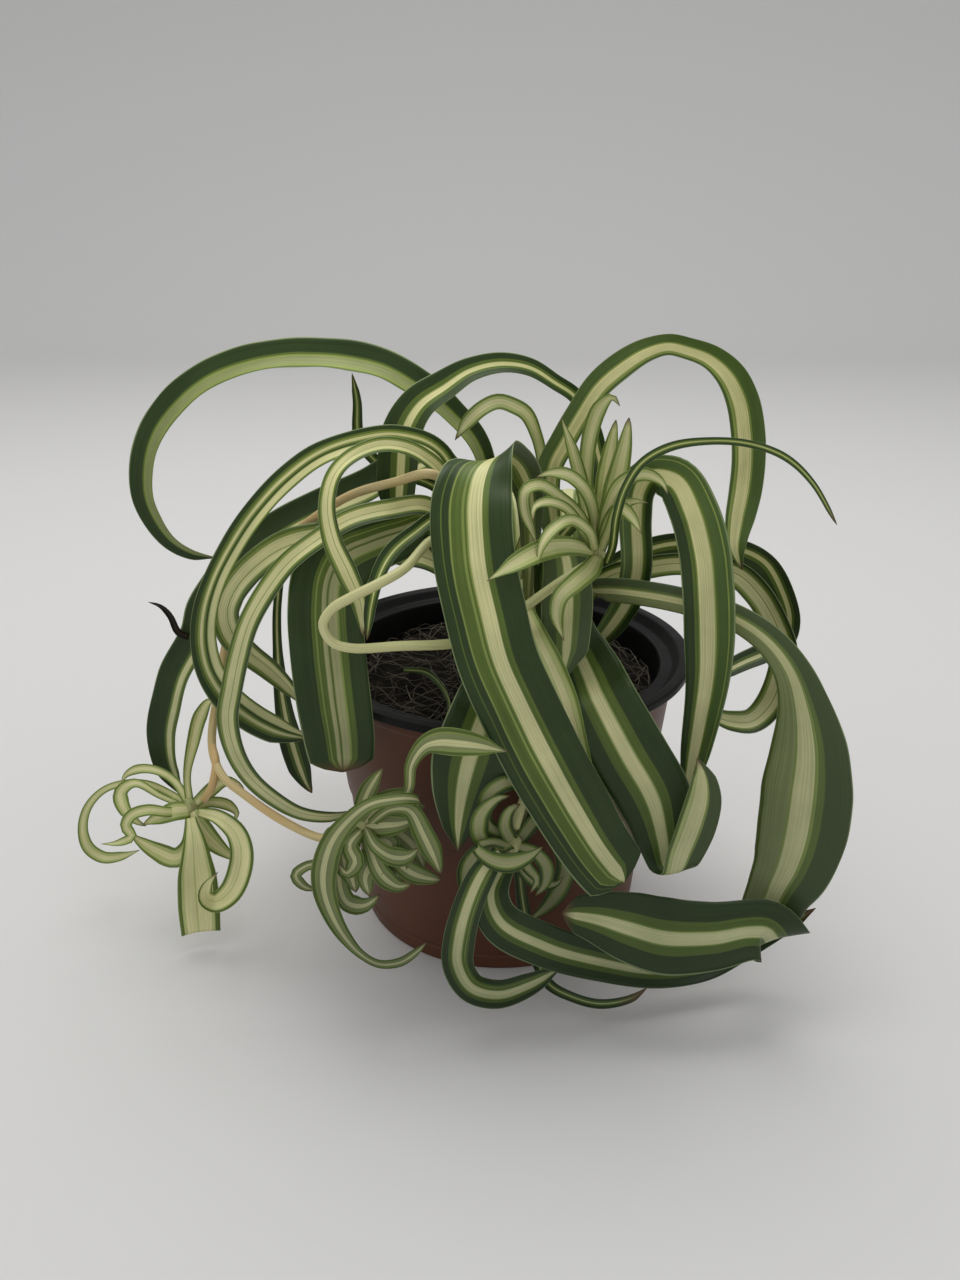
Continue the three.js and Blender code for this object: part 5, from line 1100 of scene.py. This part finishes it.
def fibre_points(source):
    """A fibre's points: a short walk over the soil that stays inside the pot."""
    reach = SOIL["edge_radius"] - FIBRE_INSET
    angle = source.uniform(0, 2 * math.pi)
    here = reach * math.sqrt(source.uniform(0.02, 1)) * np.array([math.cos(angle), math.sin(angle)])
    heading = source.uniform(0, 2 * math.pi)
    points = []
    for step in range(FIBRE_STEPS):
        radius = np.linalg.norm(here)
        here = here * min(1, reach / radius)
        lift = source.uniform(*FIBRE_LIFT) + (FIBRE_ARCH if 0 < step < FIBRE_STEPS - 1 else 0)
        slump = SOIL["slump"] * (1 - float(soil_level(np.array(min(radius, reach)))))
        points.append((*here, SOIL["top"] + float(soil_height(*here)) * 0.9 + lift - slump))
        heading += source.uniform(-FIBRE_TURN, FIBRE_TURN)
        here = here + source.uniform(*FIBRE_STEP_LENGTH) * np.array([math.cos(heading), math.sin(heading)])
    return points


def build_soil():
    source = np.random.default_rng(11)
    build_soil_body(source)
    shape = Shape()
    for k in range(FIBRE_COUNT):
        points = fibre_points(source)
        if min(np.linalg.norm(np.subtract(p, q)) for p, q in zip(points, points[1:])) < SHORTEST_STEP:
            continue
        radius = source.choice(FIBRE_RADII)
        add_tube(shape, SmoothCurve(points), lambda spots, r=radius: np.full(len(spots), r), k,
                 FIBRE_SIDES, FIBRE_ROW_LENGTH)
    hand_in(shape.build("soil_fibres", [fibre_material()]), "soil", "soil")


def build_crown():
    """The fleshy heart: sheathing leaf bases pressed round one another."""
    foot = SOIL["top"] + GAP

    def fluted(radii, heights, angles):
        turn = angles + heights * 0.01
        return radii * (0.93 + 0.07 * np.abs(np.cos(turn * CROWN_FLUTES / 2))), heights

    height = CROWN["height"]
    low, high, bevel = CROWN["base_radius"], CROWN["top_radius"], CROWN["top_bevel"]
    profile = [(0, -CROWN_SINK), (low - 1, -CROWN_SINK), (low, 1), (low, CROWN["foot_height"]),
               (high + 1.6, height * 0.6), (high, height - bevel), (high - bevel, height), (0, height)]
    profile = refined(rounded(profile, EDGE_RADIUS["crown"]), CROWN_STEP)
    shape = Shape()
    add_turned(shape, profile, (CROWN["x"], CROWN["y"], foot), CROWN_SEGMENTS, 0, fluted)
    material = heart_material("crown", (0.26, 0.28, 0.12), (0.46, 0.45, 0.24))
    hand_in(shape.build("crown_heart", [material]), "crown", "crown")


# ---- Leaves, stolons and plantlets ----
def root_of(root, half_thickness):
    """Where a strip starts on the crown, the point it first rises to, and its width's direction."""
    azimuth, height = root
    angle = math.radians(azimuth)
    outward = np.array([math.cos(angle), math.sin(angle), 0])
    side = np.array([-math.sin(angle), math.cos(angle), 0])
    tapered = CROWN["height"] - CROWN["top_bevel"] - CROWN["foot_height"]
    share = max(0, height - CROWN["foot_height"]) / tapered
    surface = CROWN["base_radius"] + (CROWN["top_radius"] - CROWN["base_radius"]) * share
    start = np.array([CROWN["x"], CROWN["y"], SOIL["top"] + GAP + height])
    start = start + outward * (surface + ROOT_CLEARANCE + half_thickness)
    rise = start + outward * ROOT_LEAN + np.array([0, 0, ROOT_RISE])
    return start, rise, side


def build_leaf(name, leaf, seed):
    look = dict(PLAIN_LOOK, **LOOKS.get(name, {}))
    widths = [point[3] for point in leaf["route"]]
    points = [place_of(point) for point in leaf["route"]]
    side = None
    if "root" in leaf:
        start, rise, side = root_of(leaf["root"], LEAF_HALF_THICKNESS)
        points = [start, rise] + points
        widths = [ROOT_WIDTH, ROOT_WIDTH] + widths
    curve = SmoothCurve(points)
    shape = Shape()
    stations = FOLDED_STATIONS if "fold_point" in leaf else LEAF_STATIONS
    add_blade(shape, curve, widths, strip_sides(curve, leaf, stations, side), look, seed, "root" in leaf)
    piece = shape.build(name + "_blade", leaf_materials(look))
    hand_in(piece, "leaflet" if name.startswith("plantlet") else "leaf", name)


def build_stolon(name, stolon, seed, material):
    start, rise, _ = root_of(stolon["root"], STOLON_RADIUS)
    shape = Shape()

    def radius_at(spots):
        return STOLON_RADIUS * (1.0 + STOLON_SWELL * wander(spots, STOLON_SWELL_LENGTH, seed))

    curve = SmoothCurve([start, rise] + [place_of(point) for point in stolon["route"]])
    add_tube(shape, curve, radius_at, seed)
    if "branch" in stolon:
        add_tube(shape, SmoothCurve([place_of(point) for point in stolon["branch"]]), radius_at, seed + 1)
    hand_in(shape.build(name + "_stem", [material]), "stolon", name)


def build_plantlet(name, plantlet, seed, heart):
    look = LOOKS.get(name, YOUNG_LOOK)
    shape = Shape()
    for k, route in enumerate(plantlet["leaflets"]):
        curve = SmoothCurve([place_of(point) for point in route])
        sides = strip_sides(curve, LEAFLET, LEAFLET_STATIONS * (len(route) - 1))
        add_blade(shape, curve, [point[3] for point in route], sides, look, seed + 7 * k, False)
    centre, radius = place_of(plantlet["centre"]), HEART_SHARE * plantlet["core"]
    tall = HEART_STRETCH * radius
    heights = np.linspace(-tall, tall, HEART_POINTS)
    profile = [(radius * math.sqrt(max(0, 1 - (height / tall) ** 2)), height) for height in heights]

    def sheathed(radii, heights, angles):
        return radii * (0.88 + 0.14 * np.abs(np.cos(angles * 2.5 + heights * 0.15))), heights

    add_turned(shape, profile, centre, HEART_SEGMENTS, 2, sheathed)
    piece = shape.build(name + "_leaflets", leaf_materials(look) + [heart])
    hand_in(piece, "leaflet", name)


def build_plant():
    pale = stolon_material("stolon_pale", (0.52, 0.55, 0.23), (0.64, 0.62, 0.31))
    peach = stolon_material("stolon_peach", (0.60, 0.53, 0.26), (0.64, 0.44, 0.19))
    heart = heart_material("plantlet_heart", (0.34, 0.38, 0.15), (0.52, 0.50, 0.26))
    for seed, (name, leaf) in enumerate({**LEAVES, **FREE_LEAVES}.items()):
        build_leaf(name, leaf, 100 * seed)
    for seed, (name, stolon) in enumerate(STOLONS.items()):
        build_stolon(name, stolon, 5000 + 10 * seed, peach if name == "stolon_left_pair" else pale)
    for seed, (name, plantlet) in enumerate(PLANTLETS.items()):
        build_plantlet(name, plantlet, 6000 + 100 * seed, heart)


# ---- Floor, light and camera, in metres ----
STAGE = dict(near=-2.5, back=1.5, bend=0.6, bend_points=25, top=3.0, half_width=3.0)
STAGE_COLOUR = (0.71, 0.705, 0.695)
SKY_COLOUR = (0.98, 0.985, 1.0, 1)
SKY_STRENGTH = 0.60
LAMP = dict(place=(-0.1, 0.35, 1.3), size=1.0, power=8.5, colour=(1, 0.99, 0.97))
SENSOR_WIDTH = 36  # millimetres
NEAREST_SEEN = 0.01


def build_stage():
    """A pale floor that bends up into a backdrop."""
    back, bend, half_width = STAGE["back"], STAGE["bend"], STAGE["half_width"]
    line = [(STAGE["near"], 0.0), (back, 0.0)]
    for angle in np.linspace(0, math.pi / 2, STAGE["bend_points"]):
        line.append((back + bend * math.sin(angle), bend * (1 - math.cos(angle))))
    line.append((back + bend, STAGE["top"]))
    vertices = [(x, y, z) for y, z in line for x in (-half_width, half_width)]
    faces = [(2 * i, 2 * i + 1, 2 * i + 3, 2 * i + 2) for i in range(len(line) - 1)]
    mesh = bpy.data.meshes.new("backdrop")
    mesh.from_pydata(vertices, [], faces)
    mesh.materials.append(Graph("backdrop").finish(STAGE_COLOUR, 0.85))
    mesh.shade_smooth()
    backdrop = bpy.data.objects.new("backdrop", mesh)
    bpy.context.scene.collection.objects.link(backdrop)


def build_light():
    """An even sky and one soft lamp overhead, aimed at the pot's foot."""
    world = bpy.data.worlds.new("studio")
    world.use_nodes = True
    background = world.node_tree.nodes["Background"]
    background.inputs["Color"].default_value = SKY_COLOUR
    background.inputs["Strength"].default_value = SKY_STRENGTH
    bpy.context.scene.world = world
    light = bpy.data.lights.new("overhead", "AREA")
    light.shape = "SQUARE"
    light.size = LAMP["size"]
    light.energy = LAMP["power"]
    light.color = LAMP["colour"]
    lamp = bpy.data.objects.new("overhead", light)
    lamp.location = LAMP["place"]
    lamp.rotation_euler = (-Vector(LAMP["place"])).to_track_quat("-Z", "Y").to_euler()
    bpy.context.scene.collection.objects.link(lamp)


def build_camera():
    camera = bpy.data.cameras.new("camera")
    camera.sensor_width = SENSOR_WIDTH
    camera.lens = SENSOR_WIDTH * FOCAL_LENGTH / PICTURE_SIZE[1]
    camera.clip_start = NEAREST_SEEN
    viewer = bpy.data.objects.new("camera", camera)
    viewer.location = EYE * MM
    viewer.rotation_euler = (math.pi / 2 - PITCH, 0, 0)
    bpy.context.scene.collection.objects.link(viewer)
    bpy.context.scene.camera = viewer


bpy.context.scene.view_settings.view_transform = "Standard"
build_cover_pot()
build_nursery_pot()
build_soil()
build_crown()
build_plant()
build_stage()
build_light()
build_camera()
